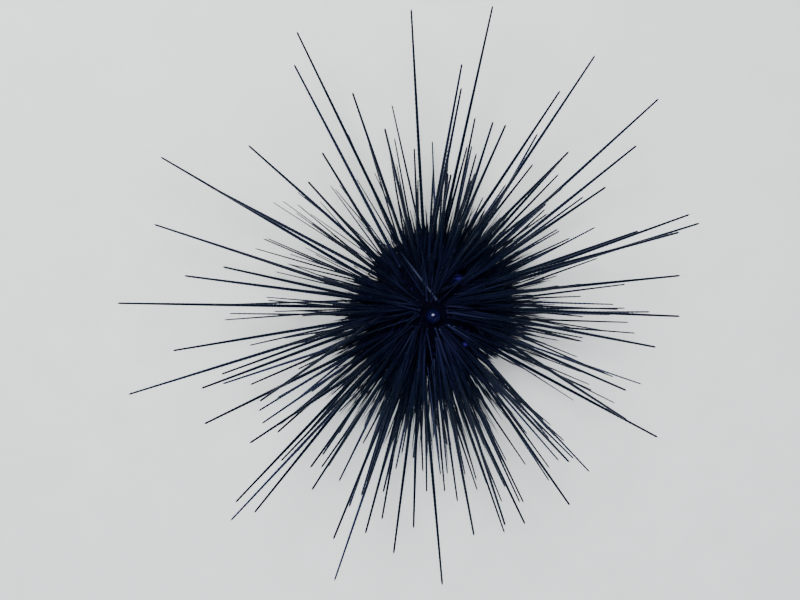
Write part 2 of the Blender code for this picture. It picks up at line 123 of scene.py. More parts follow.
def new_object(name: str, data: bpy.types.ID) -> bpy.types.Object:
    """An object in the scene."""
    made = bpy.data.objects.new(name, data)
    bpy.context.scene.collection.objects.link(made)
    return made


@dataclass(frozen=True)
class Test:
    """The shell: a spheroid that is higher above its widest ring than below it.

    The height is that of its middle over the floor.
    """

    radius: float = 0.030
    rise: float = 0.0165
    drop: float = 0.0135
    height: float = 0.029
    apical_radius: float = 0.0080
    peristome_radius: float = 0.0120
    gap: float = 0.0003
    rays: int = 5
    first_bearing: float = math.radians(52.0)
    inter_half_width: float = math.radians(22.5)

    @property
    def ray_step(self) -> float:
        """The turn from one ray to the next."""
        return FULL_TURN / self.rays

    def point(self, bearing: float, latitude: float) -> Vector:
        """The point of the surface at a bearing and a latitude."""
        rise = self.rise if latitude > 0.0 else self.drop
        out = self.radius * math.cos(latitude)
        return Vector((out * math.cos(bearing), out * math.sin(bearing), rise * math.sin(latitude)))

    def normal(self, point: Vector) -> Vector:
        """The unit normal at a point of the surface."""
        rise = self.rise if point.z > 0.0 else self.drop
        flat = self.radius ** 2
        return Vector((point.x / flat, point.y / flat, point.z / rise ** 2)).normalized()

    def depth_outside(self, point: Vector) -> float:
        """How far a point is outside the surface at least, negative inside it."""
        rise = self.rise if point.z > 0.0 else self.drop
        scaled = Vector((point.x / self.radius, point.y / self.radius, point.z / rise))
        return (scaled.length - 1.0) * rise

    def core_side(self, bearing: float, half_width: float) -> tuple[Vector, Vector]:
        """The flat side of the solid core that faces an area.

        Args:
            bearing: The bearing of the area's middle.
            half_width: Half the turn that the area takes up.

        Returns:
            A point on the side, and the normal that leads out of the core.
        """
        shrink = math.cos(half_width)
        top = Vector((self.apical_radius * shrink, 0.0, self.rise))
        bottom = Vector((self.peristome_radius * shrink, 0.0, -self.drop))
        slope = top - bottom
        normal = Vector((slope.z, 0.0, -slope.x)).normalized()
        turn = Matrix.Rotation(bearing, 3, "Z")
        return turn @ ((top + bottom) / 2.0), turn @ normal


TEST = Test()


@dataclass(frozen=True)
class Area:
    """One of the ten areas of the test."""

    kind: AreaKind
    number: int
    bearing: float
    half_width: float

    @property
    def name(self) -> str:
        """The name of the area's node in the frame."""
        return f"{self.kind.value}_{self.number}"

    def column(self, share: float) -> float:
        """The bearing at a share of the half width from the area's middle."""
        return self.bearing + share * self.half_width

    def both(self, share: float) -> Iterator[float]:
        """The bearings of the two columns at this share, one on each side of the middle."""
        for side in (-1.0, 1.0):
            yield self.column(side * share)

    def walls(self) -> Iterator[tuple[Vector, Vector]]:
        """The area's two cuts and the core's side, as (point, normal that leads out of the area)."""
        for side in (-1.0, 1.0):
            edge = self.bearing + side * self.half_width
            normal = Vector((-math.sin(edge), math.cos(edge), 0.0)) * side
            yield -normal * TEST.gap / 2.0, normal
        point, normal = TEST.core_side(self.bearing, self.half_width)
        yield point + normal * TEST.gap / 2.0, -normal


def ten_areas() -> list[Area]:
    """The ten areas in order round the test, from the first interambulacrum."""
    found = []
    for ray in range(TEST.rays):
        bearing = TEST.first_bearing + ray * TEST.ray_step
        found.append(Area(AreaKind.INTERAMBULACRUM, ray + 1, bearing, TEST.inter_half_width))
        found.append(Area(AreaKind.AMBULACRUM, ray + 1, bearing + TEST.ray_step / 2.0,
                          TEST.ray_step / 2.0 - TEST.inter_half_width))
    return found


AREAS = ten_areas()


def areas_of(kind: AreaKind) -> list[Area]:
    """The five areas of one kind."""
    return [area for area in AREAS if area.kind is kind]


def any_place(latitudes: Pair, draw: random.Random) -> tuple[Area, float, float]:
    """A place on the test by chance, every patch of it as likely as another.

    Args:
        latitudes: The lowest and the highest latitude, in degrees.
        draw: The source of chance.

    Returns:
        Its area, bearing and latitude.
    """
    area = draw.choices(AREAS, [one.half_width for one in AREAS])[0]
    bearing = area.column(draw.uniform(-1.0, 1.0))
    low, high = (math.sin(math.radians(latitude)) for latitude in latitudes)
    return area, bearing, math.asin(draw.uniform(low, high))


@dataclass(frozen=True)
class Shaft:
    """A straight, tapering form such as a spine, from where it leaves the skin to its tip."""

    area: Area
    root: Vector
    tip: Vector
    root_radius: float
    tip_radius: float
    tone: float | None = None

    @property
    def length(self) -> float:
        """The distance from root to tip."""
        return (self.tip - self.root).length

    @property
    def axis(self) -> Vector:
        """The unit vector from root to tip."""
        return (self.tip - self.root).normalized()

    def at(self, share: float) -> Vector:
        """The point at a share of the way from root to tip."""
        return self.root.lerp(self.tip, share)


@dataclass
class Coat:
    """The shafts that are set so far, and the test whether another one clears them."""

    shafts: list[Shaft] = field(default_factory=list)
    clear: float = 0.0004
    lowest_tip: float = 0.0016
    sink: float = 0.0030
    near_reach: float = 0.0080
    near_step: float = 0.0005
    least_spread: float = 1e-14
    room: int = 9000

    def __post_init__(self) -> None:
        """Make room for the roots, the shafts and their two radii."""
        self.roots = np.zeros((self.room, 3))
        self.runs = np.zeros((self.room, 3))
        self.radii = np.zeros((self.room, 2))

    def append(self, shaft: Shaft) -> None:
        """Keep a shaft without any test."""
        row = len(self.shafts)
        self.roots[row] = shaft.root
        self.runs[row] = np.array(shaft.tip) - np.array(shaft.root)
        self.radii[row] = (shaft.root_radius, shaft.tip_radius)
        self.shafts.append(shaft)

    def clears(self, shaft: Shaft) -> bool:
        """Whether a shaft keeps its distance to all the others."""
        count = len(self.shafts)
        if not count:
            return True
        runs = self.runs[:count]
        thick, thin = self.radii[:count].T
        run = np.array(shaft.tip - shaft.root)
        between = np.array(shaft.root) - self.roots[:count]
        square = run @ run
        squares = np.sum(runs * runs, axis=1)
        cross = runs @ run
        own = between @ run
        other = np.sum(runs * between, axis=1)
        spread = np.maximum(square * squares - cross * cross, self.least_spread)
        along = np.clip((cross * other - own * squares) / spread, 0.0, 1.0)
        beside = np.clip((cross * along + other) / squares, 0.0, 1.0)
        along = np.clip((cross * beside - own) / square, 0.0, 1.0)
        away = between + along[:, None] * run - beside[:, None] * runs
        room = shaft.root_radius + along * (shaft.tip_radius - shaft.root_radius)
        room = room + thick + beside * (thin - thick) + self.clear
        return bool(np.all(np.sum(away * away, axis=1) > room * room))

    def stands_free(self, shaft: Shaft) -> bool:
        """Whether a shaft's root stays inside its own area and the rest clears the areas beside it."""
        axis = shaft.axis
        room = shaft.root_radius + TEST.gap
        for point, normal in shaft.area.walls():
            for along in np.arange(-self.sink, self.near_reach, self.near_step):
                place = shaft.root + axis * float(along)
                inside = (point - place).dot(normal)
                if inside < room and (along <= 0.0 or TEST.depth_outside(place) < room):
                    return False
        return True

    def add(self, shaft: Shaft, in_area: bool = True) -> bool:
        """Set a shaft where it has room, and keep it.

        Args:
            shaft: The shaft to set.
            in_area: Whether it also has to stand free inside its own area.

        Returns:
            Whether it was set.
        """
        if shaft.tip.z < self.lowest_tip - TEST.height:
            return False
        if (in_area and not self.stands_free(shaft)) or not self.clears(shaft):
            return False
        self.append(shaft)
        return True


@dataclass
class Viewpoint:
    """The point above the crown, a little to one side, from which the animal is seen.

    Partings and gaps are wedges: each has a middle bearing and a half width in degrees, and the reach
    at which it starts. Clearings are round: each has a bearing in degrees, a reach and a radius.
    """

    bearing: float = math.radians(122.0)
    tilt: float = math.radians(12.0)
    distance: float = 0.650
    offset: Pair = (-0.0172, 0.0088)
    crown_rise: float = 0.0231
    lens: float = 58.5
    sensor: float = 36.0
    clip_start: float = 0.01
    partings: Triples = ((147.5, 3.0, 0.036), (323.0, 4.5, 0.036))
    parting_shares: Numbers = (0.5, 0.75, 1.0)
    clearings: Triples = ((59.1, 0.0234, 0.0018), (319.0, 0.0207, 0.0012))
    gaps: Triples = ((144.5, 3.6, 0.0325), (325.5, 6.5, 0.0385))
    hiding_steps: int = 31
    span_step: float = 0.001
    span_limit: float = 0.172

    def __post_init__(self) -> None:
        """Work out the eye and its axes."""
        self.crown = upright(self.crown_rise)
        self.toward = heading(self.bearing, math.pi / 2.0 - self.tilt)
        turn = upright(1.0).rotation_difference(self.toward)
        self.right = turn @ Vector((1.0, 0.0, 0.0))
        self.up = turn @ Vector((0.0, 1.0, 0.0))
        aside = self.right * self.offset[0] + self.up * self.offset[1]
        self.eye = self.crown + self.toward * self.distance + aside

    def seen(self, point: Vector) -> Pair:
        """The bearing in degrees and the reach at which a point is seen round the crown."""
        sight = point - self.eye
        sight = sight * (self.distance / -sight.dot(self.toward))
        flat = self.eye + sight - self.crown
        across = flat.dot(self.right)
        above = flat.dot(self.up)
        return math.degrees(math.atan2(above, across)) % 360.0, math.hypot(across, above)

    def sight(self, bearing: float, reach: float) -> Vector:
        """The line of sight, as a unit vector, to a bearing in radians and a reach round the crown."""
        shown = self.right * math.cos(bearing) + self.up * math.sin(bearing)
        return (self.crown + shown * reach - self.eye).normalized()

    def leader_tip(self, bearing: float, reach: float, span: float) -> Vector | None:
        """Where a leader's tip is.

        Args:
            bearing: The bearing at which the tip is seen, in radians.
            reach: How far from the crown it is seen.
            span: How far from the middle of the test it is, at least.

        Returns:
            The tip, or None where it would pass under the floor.
        """
        sight = self.sight(bearing, reach)
        nearest = -self.eye.dot(sight)
        miss = (self.eye + sight * nearest).length
        while span < self.span_limit:
            if span > miss:
                tip = self.eye + sight * (nearest - math.sqrt(span * span - miss * miss))
                if tip.z > Coat.lowest_tip - TEST.height:
                    return tip
            span += self.span_step
        return None

    def skin_at(self, degrees: float, reach: float) -> Vector:
        """The place on the test's upper half that is seen at a bearing in degrees and a reach."""
        sight = self.sight(math.radians(degrees), reach)
        unit = Matrix.Diagonal((1.0 / TEST.radius, 1.0 / TEST.radius, 1.0 / TEST.rise))
        start = unit @ self.eye
        run = unit @ sight
        half = start.dot(run)
        root = math.sqrt(max(0.0, half * half - run.dot(run) * (start.dot(start) - 1.0)))
        return self.eye + sight * ((-half - root) / run.dot(run))

    def in_wedge(self, point: Vector, wedges: Triples) -> bool:
        """Whether a point is seen in one of the wedges."""
        bearing, reach = self.seen(point)
        return any(reach > start and abs(bearing - middle) < half_width
                   for middle, half_width, start in wedges)

    def in_parting(self, shaft: Shaft) -> bool:
        """Whether the outer half of a spine is seen in one of the partings."""
        return any(self.in_wedge(shaft.at(share), self.partings) for share in self.parting_shares)

    def hides(self, shaft: Shaft, with_gaps: bool = True) -> bool:
        """Whether a spine would hide a clearing, where blue spots show, or stand in a gap.

        Args:
            shaft: The spine.
            with_gaps: Whether the gaps count too.

        Returns:
            Whether it stands in the way.
        """
        for share in np.linspace(0.0, 1.0, self.hiding_steps):
            point = shaft.at(float(share))
            if with_gaps and self.in_wedge(point, self.gaps):
                return True
            bearing, reach = self.seen(point)
            place = heading(math.radians(bearing)) * reach
            for degrees, away, radius in self.clearings:
                if (place - heading(math.radians(degrees)) * away).length < radius:
                    return True
        return False

    def set_camera(self, middle: Vector) -> None:
        """Make the scene's camera, with the test's middle at a place over the floor."""
        lens = bpy.data.cameras.new("photo_view")
        lens.sensor_width = self.sensor
        lens.lens = self.lens
        lens.clip_start = self.clip_start
        camera = new_object("photo_view", lens)
        turn = Matrix((self.right, self.up, self.toward)).transposed().to_4x4()
        camera.matrix_world = Matrix.Translation(middle + self.eye) @ turn
        bpy.context.scene.camera = camera


@dataclass(frozen=True)
class SmallRows:
    """Where one kind of small spine grows in rows, by latitude and share of an area's half width."""

    rows: Numbers
    columns: dict[AreaKind, Numbers]
    lengths: Pair
    root_radius: float
    tip_radius: float


@dataclass(frozen=True)
class FineCover:
    """How a kind of fine spine is scattered over the test, between its latitudes in degrees."""

    draws: int
    latitudes: Pair
    lengths: Pair
    root_radius: float
    tip_radius: float
    lean: float
    with_primaries: bool = False


@dataclass
class Layout:
    """Every spine of the animal, on the plan of the solid model and then finer ones between.

    A row is its latitude in degrees and its columns as shares of an area's half width. A leader is the
    bearing in degrees and the reach in millimetres at which its tip is seen. The stance is the usual
    elevation and length of a primary spine at each latitude.
    """

    seed: int = 20
    fine_seed: int = 21
    inter_rows: tuple[tuple[float, Numbers], ...] = (
        (64.0, (-0.62, 0.62)),
        (53.0, (-0.74, 0.74)),
        (42.0, (-0.80, -0.42, 0.42, 0.80)),
        (31.0, (-0.84, -0.52, 0.52, 0.84)),
        (20.0, (-0.86, -0.46, 0.0, 0.46, 0.86)),
        (9.0, (-0.78, -0.34, 0.34, 0.78)),
        (-2.0, (-0.86, -0.46, 0.0, 0.46, 0.86)),
        (-13.0, (-0.78, -0.30, 0.30, 0.78)),
        (-24.0, (-0.80, -0.40, 0.0, 0.40, 0.80)),
        (-35.0, (-0.66, 0.0, 0.66)),
    )
    ambulacrum_rows: tuple[tuple[float, Numbers], ...] = tuple(
        (latitude, (-0.50, 0.50)) for latitude in range(62, -40, -10))
    root_jitter: float = math.radians(1.2)
    stance_latitudes: Numbers = (
        -60.0, -42.0, -35.0, -24.0, -13.0, -2.0, 9.0, 20.0, 31.0, 42.0, 53.0, 64.0)
    stance_elevations: Numbers = (
        -66.0, -50.0, -19.0, -9.0, -2.0, 6.0, 14.0, 23.0, 33.0, 42.0, 50.0, 57.0)
    stance_lengths: Numbers = (
        0.010, 0.013, 0.040, 0.052, 0.062, 0.068, 0.072, 0.078, 0.084, 0.088, 0.086, 0.076)
    length_spread: Pair = (0.66, 1.16)
    elevation_spread: float = math.radians(7.0)
    bearing_spread: float = math.radians(11.0)
    fill_tries: int = 12
    fill_shortening: float = 0.04
    leaders: tuple[Pair, ...] = (
        (0.3, 123), (9.7, 125), (19.2, 130), (19.6, 141), (22.0, 138), (23.0, 111), (37.3, 108),
        (40.4, 133), (44.3, 157), (51.0, 107), (58.5, 154), (61.0, 130), (69.7, 103), (79.4, 159),
        (83.3, 116), (83.8, 128), (94.3, 155), (104.7, 98), (110.0, 120), (115.7, 159),
        (119.0, 145), (124.2, 100), (132.9, 93), (137.2, 127), (149.6, 159), (149.7, 130),
        (161.6, 148), (166.5, 109), (170.5, 127), (177.4, 159), (187.2, 132), (194.1, 158),
        (196.9, 122), (204.8, 127), (205.6, 97), (214.2, 112), (222.9, 136), (224.9, 144),
        (227.3, 133), (234.6, 106), (245.5, 122), (249.2, 141), (260.2, 120), (271.7, 134),
        (280.3, 111), (288.8, 110), (293.7, 113), (305.8, 116), (313.0, 99), (331.8, 127),
        (332.0, 109), (339.2, 103), (352.4, 112),
    )
    leader_span: Pair = (0.138, 0.156)
    leader_tries: int = 10
    radius_short: float = 0.00060
    radius_per_length: float = 0.0036
    tip_radius: float = 0.00034
    foot_latitude: float = math.radians(-42.0)
    foot_elevation: float = math.radians(-60.0)
    foot_jitter: float = 0.1
    foot_radii: Pair = (0.00095, 0.00075)
    foot_overrun: float = 0.0015
    small_lean: float = 0.30
    small_tries: int = 8
    column_jitter: float = 0.12
    row_jitter: float = 2.5
    oral: SmallRows = SmallRows(
        rows=(-44.0, -53.0, -60.0),
        columns={AreaKind.INTERAMBULACRUM: (-0.62, 0.0, 0.62), AreaKind.AMBULACRUM: (-0.45, 0.45)},
        lengths=(0.008, 0.012),
        root_radius=0.00058,
        tip_radius=0.00044,
    )
    secondary: SmallRows = SmallRows(
        rows=(47.0, 36.0, 25.0, 14.0, 3.0, -8.0, -19.0, -30.0),
        columns={AreaKind.INTERAMBULACRUM: (-0.6, 0.6), AreaKind.AMBULACRUM: (0.0,)},
        lengths=(0.010, 0.024),
        root_radius=0.00050,
        tip_radius=0.00034,
    )
    filler_widths: tuple[Numbers, ...] = (
        (0.0, 22.0, 45.0, 85.0, 105.0, 136.0, 141.0, 148.0, 157.0, 180.0, 200.0, 265.0, 290.0,
         315.0, 321.0, 330.0, 345.0, 360.0),
        (0.80, 0.84, 1.02, 1.06, 0.68, 0.62, 0.50, 0.50, 0.66, 0.72, 1.06, 1.06, 0.84,
         0.84, 0.60, 0.60, 0.76, 0.78))
    seen_short: float = 0.00046
    seen_per_length: float = 0.0036
    seen_tip_lengths: Pair = (0.025, 0.085)
    seen_tips: Pair = (0.00036, 0.00056)
    seen_tones: Pair = (0.0, 0.78)
    light_area: int = 1
    light_root: Pair = (76.0, 74.5)
    light_turns: Numbers = (0.0, -4.0, 4.0, -8.0, 8.0, -12.0, 12.0)
    light_tip: Pair = (117.4, 0.0374)
    light_spans: tuple[float, float, int] = (0.052, 0.082, 16)
    light_radii: Pair = (0.00058, 0.00044)
    crown_tries: int = 420
    crown_latitudes: Pair = (60.0, 77.0)
    crown_elevations: Pair = (38.0, 74.0)
    crown_lengths: Pair = (0.020, 0.060)
    crown_radii: Pair = (0.00042, 0.00026)
    crown_tones: Pair = (0.20, 0.84)
    fine_clear: float = 0.00004
    fine_secondary: FineCover = FineCover(
        draws=11500, latitudes=(-40.0, 66.0), lengths=(0.009, 0.030), root_radius=0.00036,
        tip_radius=0.00022, lean=0.20, with_primaries=True)
    fine_reach: tuple[Numbers, ...] = (
        (0.0, 45.0, 80.0, 112.0, 157.0, 180.0, 202.0, 247.0, 292.0, 337.0, 360.0),
        (1.25, 1.42, 1.10, 0.58, 0.50, 0.66, 1.30, 1.76, 1.88, 1.36, 1.25))
    fine_shortening: Numbers = (1.0, 0.7, 0.5)
    fine_oral: FineCover = FineCover(
        draws=420, latitudes=(-66.0, -36.0), lengths=(0.006, 0.010), root_radius=0.00034,
        tip_radius=0.00024, lean=0.30)
    miliary: FineCover = FineCover(
        draws=3000, latitudes=(-64.0, 70.0), lengths=(0.0035, 0.0075), root_radius=0.00020,
        tip_radius=0.00009, lean=0.45)
    naked_latitudes: Pair = (14.0, 46.0)
    naked_share: float = 0.40

    def __post_init__(self) -> None:
        """Set every spine, the solid model's first and in its order, then as in life with finer ones."""
        self.view = Viewpoint()
        self.coat = Coat()
        draw = random.Random(self.seed)
        self.set_feet(draw)
        slots = self.primary_slots(draw)
        self.set_leaders(slots, draw)
        leaders = len(self.coat.shafts)
        self.set_primaries(slots, draw)
        feet = len(AREAS)
        primaries = len(self.coat.shafts)
        self.set_rows(self.oral, draw)
        orals = len(self.coat.shafts)
        self.set_rows(self.secondary, draw)
        self.feet = self.coat.shafts[:feet]
        self.orals = self.coat.shafts[primaries:orals]
        self.secondaries = self.coat.shafts[orals:]
        draw = random.Random(self.fine_seed)
        self.primaries = [self.as_seen(one, 1.0, draw) for one in self.coat.shafts[feet:leaders]]
        for shaft in self.coat.shafts[leaders:primaries]:
            if not self.view.hides(shaft, with_gaps=False):
                width = float(np.interp(self.view.seen(shaft.tip)[0], *self.filler_widths))
                self.primaries.append(self.as_seen(shaft, width, draw))
        self.coat = Coat(clear=self.fine_clear)
        for shaft in self.feet + self.primaries + self.orals + self.secondaries:
            self.coat.append(shaft)
        self.primaries += self.light_spine()
        self.primaries += self.crown_spines(draw)
        self.secondaries += self.scatter(self.fine_secondary, draw)
        self.orals += self.scatter(self.fine_oral, draw)
        self.miliaries = self.scatter(self.miliary, draw)

    def set_feet(self, draw: random.Random) -> None:
        """Stand the test on one stout oral spine in each area."""
        for area in AREAS:
            bearing = area.column(draw.uniform(-self.foot_jitter, self.foot_jitter))
            root = TEST.point(bearing, self.foot_latitude)
            axis = heading(bearing, self.foot_elevation)
            tip = root + axis * ((root.z + TEST.height) / -axis.z + self.foot_overrun)
            self.coat.append(Shaft(area, root, tip, *self.foot_radii))

    def primary_slots(self, draw: random.Random) -> list[tuple[Area, float, float]]:
        """Every place where a primary spine can grow, as (area, bearing, latitude)."""
        slots = []
        for area in AREAS:
            inter = area.kind is AreaKind.INTERAMBULACRUM
            for latitude, columns in self.inter_rows if inter else self.ambulacrum_rows:
                for column in columns:
                    level = math.radians(latitude) + draw.uniform(-self.root_jitter, self.root_jitter)
                    slots.append((area, area.column(column), level))
        return slots

    def shaft_radius(self, length: float) -> float:
        """The radius of a primary spine where it leaves the test."""
        return self.radius_short + self.radius_per_length * length

    def set_leaders(self, slots: list[tuple[Area, float, float]], draw: random.Random) -> None:
        """Set the longest spines, each in the free place that suits its tip best."""
        for degrees, millimetres in self.leaders:
            for attempt in range(self.leader_tries):
                span = draw.uniform(*self.leader_span)
                tip = self.view.leader_tip(math.radians(degrees), millimetres / 1000.0, span)
                if tip is None:
                    continue
                elevation = math.degrees(math.asin(tip.z / tip.length))
                level = math.radians(np.interp(elevation, self.stance_elevations, self.stance_latitudes))
                spot = TEST.point(math.atan2(tip.y, tip.x), level)
                ranked = sorted(slots, key=lambda slot: (TEST.point(slot[1], slot[2]) - spot).length)
                slot = ranked[attempt]
                root = TEST.point(slot[1], slot[2])
                radius = self.shaft_radius((tip - root).length)
                if self.coat.add(Shaft(slot[0], root, tip, radius, self.tip_radius)):
                    slots.remove(slot)
                    break

    def set_primaries(self, slots: list[tuple[Area, float, float]], draw: random.Random) -> None:
        """Fill the places that are left with spines of the usual length at their latitude."""
        for area, bearing, level in slots:
            latitude = math.degrees(level)
            stance = math.radians(np.interp(latitude, self.stance_latitudes, self.stance_elevations))
            usual = float(np.interp(latitude, self.stance_latitudes, self.stance_lengths))
            root = TEST.point(bearing, level)
            for attempt in range(self.fill_tries):
                elevation = stance + draw.uniform(-self.elevation_spread, self.elevation_spread)
                lean = bearing + draw.uniform(-self.bearing_spread, self.bearing_spread)
                length = usual * draw.uniform(*self.length_spread)
                length = length * (1.0 - attempt * self.fill_shortening)
                tip = root + heading(lean, elevation) * length
                shaft = Shaft(area, root, tip, self.shaft_radius(length), self.tip_radius)
                if not self.view.in_parting(shaft) and self.coat.add(shaft):
                    break

    def set_rows(self, kind: SmallRows, draw: random.Random) -> None:
        """Set one kind of small spine in its rows."""
        for area in AREAS:
            for latitude in kind.rows:
                for column in kind.columns[area.kind]:
                    for attempt in range(self.small_tries):
                        shift = column + draw.uniform(-self.column_jitter, self.column_jitter)
                        level = math.radians(latitude + draw.uniform(-self.row_jitter, self.row_jitter))
                        root = TEST.point(area.column(shift), level)
                        axis = leaning(TEST.normal(root), self.small_lean, draw)
                        tip = root + axis * draw.uniform(*kind.lengths)
                        if self.coat.add(Shaft(area, root, tip, kind.root_radius, kind.tip_radius)):
                            break

    def as_seen(self, shaft: Shaft, width: float, draw: random.Random) -> Shaft:
        """A primary spine of the solid model as in life, where it tapers less than the solid.

        Args:
            shaft: The solid model's spine.
            width: Its width as a share of a leader's.
            draw: The source of chance.

        Returns:
            The spine in the same place.
        """
        radius = (self.seen_short + self.seen_per_length * shaft.length) * width
        tip_radius = float(np.interp(shaft.length, self.seen_tip_lengths, self.seen_tips)) * width
        tone = draw.uniform(*self.seen_tones)
        return replace(shaft, root_radius=radius, tip_radius=tip_radius, tone=tone)

    def light_spine(self) -> list[Shaft]:
        """The one spine that stands up beside the cone and catches the light."""
        area = AREAS[self.light_area]
        facing, latitude = self.light_root
        bearing, reach = self.light_tip
        for turn in self.light_turns:
            root = TEST.point(math.radians(facing + turn), math.radians(latitude))
            for span in np.linspace(*self.light_spans):
                tip = self.view.leader_tip(math.radians(bearing), reach, float(span))
                # Tone 1.0 paints it in the palest colour: a painted highlight for the light it catches
                if tip and self.coat.add(Shaft(area, root, tip, *self.light_radii, tone=1.0), False):
                    return self.coat.shafts[-1:]
        return []

    def crown_spines(self, draw: random.Random) -> list[Shaft]:
        """Slender spines close round the apical disc, which lean out between its bare bands."""
        before = len(self.coat.shafts)
        for attempt in range(self.crown_tries):
            area = AREAS[attempt % len(AREAS)]
            bearing = area.column(draw.uniform(-1.0, 1.0))
            latitude = draw.uniform(*self.crown_latitudes)
            root = TEST.point(bearing, math.radians(latitude))
            lean = bearing + draw.uniform(-self.bearing_spread, self.bearing_spread)
            axis = heading(lean, math.radians(draw.uniform(*self.crown_elevations)))
            tip = root + axis * draw.uniform(*self.crown_lengths)
            shaft = Shaft(area, root, tip, *self.crown_radii, tone=draw.uniform(*self.crown_tones))
            if not self.is_naked(area, bearing, latitude) and not self.view.hides(shaft):
                self.coat.add(shaft, False)
        return self.coat.shafts[before:]

    def is_naked(self, area: Area, bearing: float, latitude: float) -> bool:
        """Whether a place is in the bare middle of an interambulacrum, latitude in degrees."""
        if area.kind is AreaKind.AMBULACRUM:
            return False
        share = float(np.interp(latitude, self.naked_latitudes, (0.0, self.naked_share)))
        return abs(bearing - area.bearing) < share * area.half_width

    def stance(self, bearing: float, level: float) -> Vector:
        """The direction in which the primary spines stand at a place."""
        elevation = np.interp(math.degrees(level), self.stance_latitudes, self.stance_elevations)
        return heading(bearing, math.radians(elevation))

    def scatter(self, cover: FineCover, draw: random.Random) -> list[Shaft]:
        """Scatter one kind of fine spine evenly over the test.

        Args:
            cover: Where and how large the spines are.
            draw: The source of chance.

        Returns:
            The spines that found room.
        """
        before = len(self.coat.shafts)
        for attempt in range(cover.draws):
            area, bearing, level = any_place(cover.latitudes, draw)
            root = TEST.point(bearing, level)
            stance = self.stance(bearing, level) if cover.with_primaries else TEST.normal(root)
            axis = leaning(stance, cover.lean, draw)
            length = draw.uniform(*cover.lengths)
            if cover.with_primaries:
                length = length * float(np.interp(math.degrees(bearing) % 360.0, *self.fine_reach))
            if self.is_naked(area, bearing, math.degrees(level)):
                continue
            for share in self.fine_shortening:
                tip = root + axis * length * share
                shaft = Shaft(area, root, tip, cover.root_radius, cover.tip_radius)
                if not self.view.hides(shaft):
                    self.coat.add(shaft, False)
                    break
        return self.coat.shafts[before:]


@dataclass(frozen=True)
class SkinMap:
    """The unwrap of the skin: its upper and its lower half as two ovals side by side."""

    middles: Pair = (0.25, 0.75)
    half_width: float = 0.240
    half_height: float = 0.480
    patch: float = 0.003

    def places(self, points: np.ndarray, upper: np.ndarray) -> np.ndarray:
        """Where points of the skin lie on the unwrap.

        Args:
            points: The points, about the test's middle.
            upper: Whether each one is mapped with the upper half.

        Returns:
            Their places, a row of two for each point.
        """
        rise = np.where(upper, TEST.rise, -TEST.drop)
        latitude = np.arcsin(np.clip(points[:, 2] / rise, -1.0, 1.0))
        reach = 1.0 - latitude / (math.pi / 2.0)
        bearing = np.arctan2(points[:, 1], points[:, 0])
        across = np.where(upper, *self.middles) + self.half_width * reach * np.cos(bearing)
        above = 0.5 + self.half_height * reach * np.sin(bearing)
        return np.stack((across, above), axis=1)


SKIN_MAP = SkinMap()


@dataclass(frozen=True)
class Template:
    """One turned form in arrays: radii across, metres along, and its faces by their corners."""

    across: np.ndarray
    along: np.ndarray
    corners: np.ndarray
    totals: np.ndarray
    turns: np.ndarray


def read(items: bpy.types.bpy_prop_collection, name: str, kind: type, width: int = 1) -> np.ndarray:
    """One property of a mesh's vertices, loops or faces.

    Args:
        items: The vertices, loops or faces.
        name: The property.
        kind: The type of its numbers.
        width: How many numbers each item has.

    Returns:
        The numbers, a row for each item where it has more than one.
    """
    values = np.zeros(len(items) * width, kind)
    items.foreach_get(name, values)
    return values.reshape(-1, width) if width > 1 else values


def add_map(mesh: bpy.types.Mesh, places: np.ndarray) -> None:
    """Give a mesh the UV map for its materials to be baked on, a row of two for each corner."""
    layer = mesh.uv_layers.new(name="OFBake")
    layer.uv.foreach_set("vector", places.astype(np.float32).ravel())


def add_attribute(mesh: bpy.types.Mesh, name: str, values: np.ndarray) -> None:
    """Keep one value for each vertex of a mesh under a name."""
    made = mesh.attributes.new(name, "FLOAT", "POINT")
    made.data.foreach_set("value", values.astype(np.float32))


def widen(vertex: bmesh.types.BMVert, factor: float) -> None:
    """Move a vertex away from the axis, or towards it."""
    vertex.co.x *= factor
    vertex.co.y *= factor


def new_mesh(name: str, bm: bmesh.types.BMesh) -> bpy.types.Mesh:
    """A smooth mesh from a bmesh, with its doubles merged and its faces outwards."""
    bmesh.ops.remove_doubles(bm, verts=bm.verts, dist=DOUBLES)
    bmesh.ops.recalc_face_normals(bm, faces=bm.faces)
    mesh = bpy.data.meshes.new(name)
    bm.to_mesh(mesh)
    bm.free()
    mesh.shade_smooth()
    return mesh


def turned(profile: list[Pair], sides: int) -> bmesh.types.BMesh:
    """A closed form turned round Z.

    Args:
        profile: (radius, height) from the foot on the axis to the tip on the axis.
        sides: How many flats it has round the axis.

    Returns:
        The form as a bmesh.
    """
    bm = bmesh.new()
    verts = [bm.verts.new((radius, 0.0, height)) for radius, height in profile]
    edges = [bm.edges.new(pair) for pair in zip(verts, verts[1:])]
    bmesh.ops.spin(bm, geom=verts + edges, cent=(0.0, 0.0, 0.0), axis=(0.0, 0.0, 1.0),
                   angle=FULL_TURN, steps=sides, use_merge=True)
    bmesh.ops.remove_doubles(bm, verts=bm.verts, dist=SAME_POINT)
    bmesh.ops.recalc_face_normals(bm, faces=bm.faces)
    return bm


def template_of(bm: bmesh.types.BMesh) -> Template:
    """The arrays of a turned form, which is freed."""
    bm.verts.ensure_lookup_table()
    places = np.array([vertex.co for vertex in bm.verts])
    corners = []
    totals = []
    turns = []
    for face in bm.faces:
        middle = face.calc_center_median()
        facing = math.atan2(middle.y, middle.x)
        totals.append(len(face.verts))
        for vertex in face.verts:
            corners.append(vertex.index)
            aside = 0.0
            if math.hypot(vertex.co.x, vertex.co.y) > DOUBLES:
                aside = math.remainder(math.atan2(vertex.co.y, vertex.co.x) - facing, FULL_TURN)
            turns.append((facing % FULL_TURN + aside) / FULL_TURN)
    bm.free()
    return Template(places[:, :2], places[:, 2], np.array(corners), np.array(totals), np.array(turns))


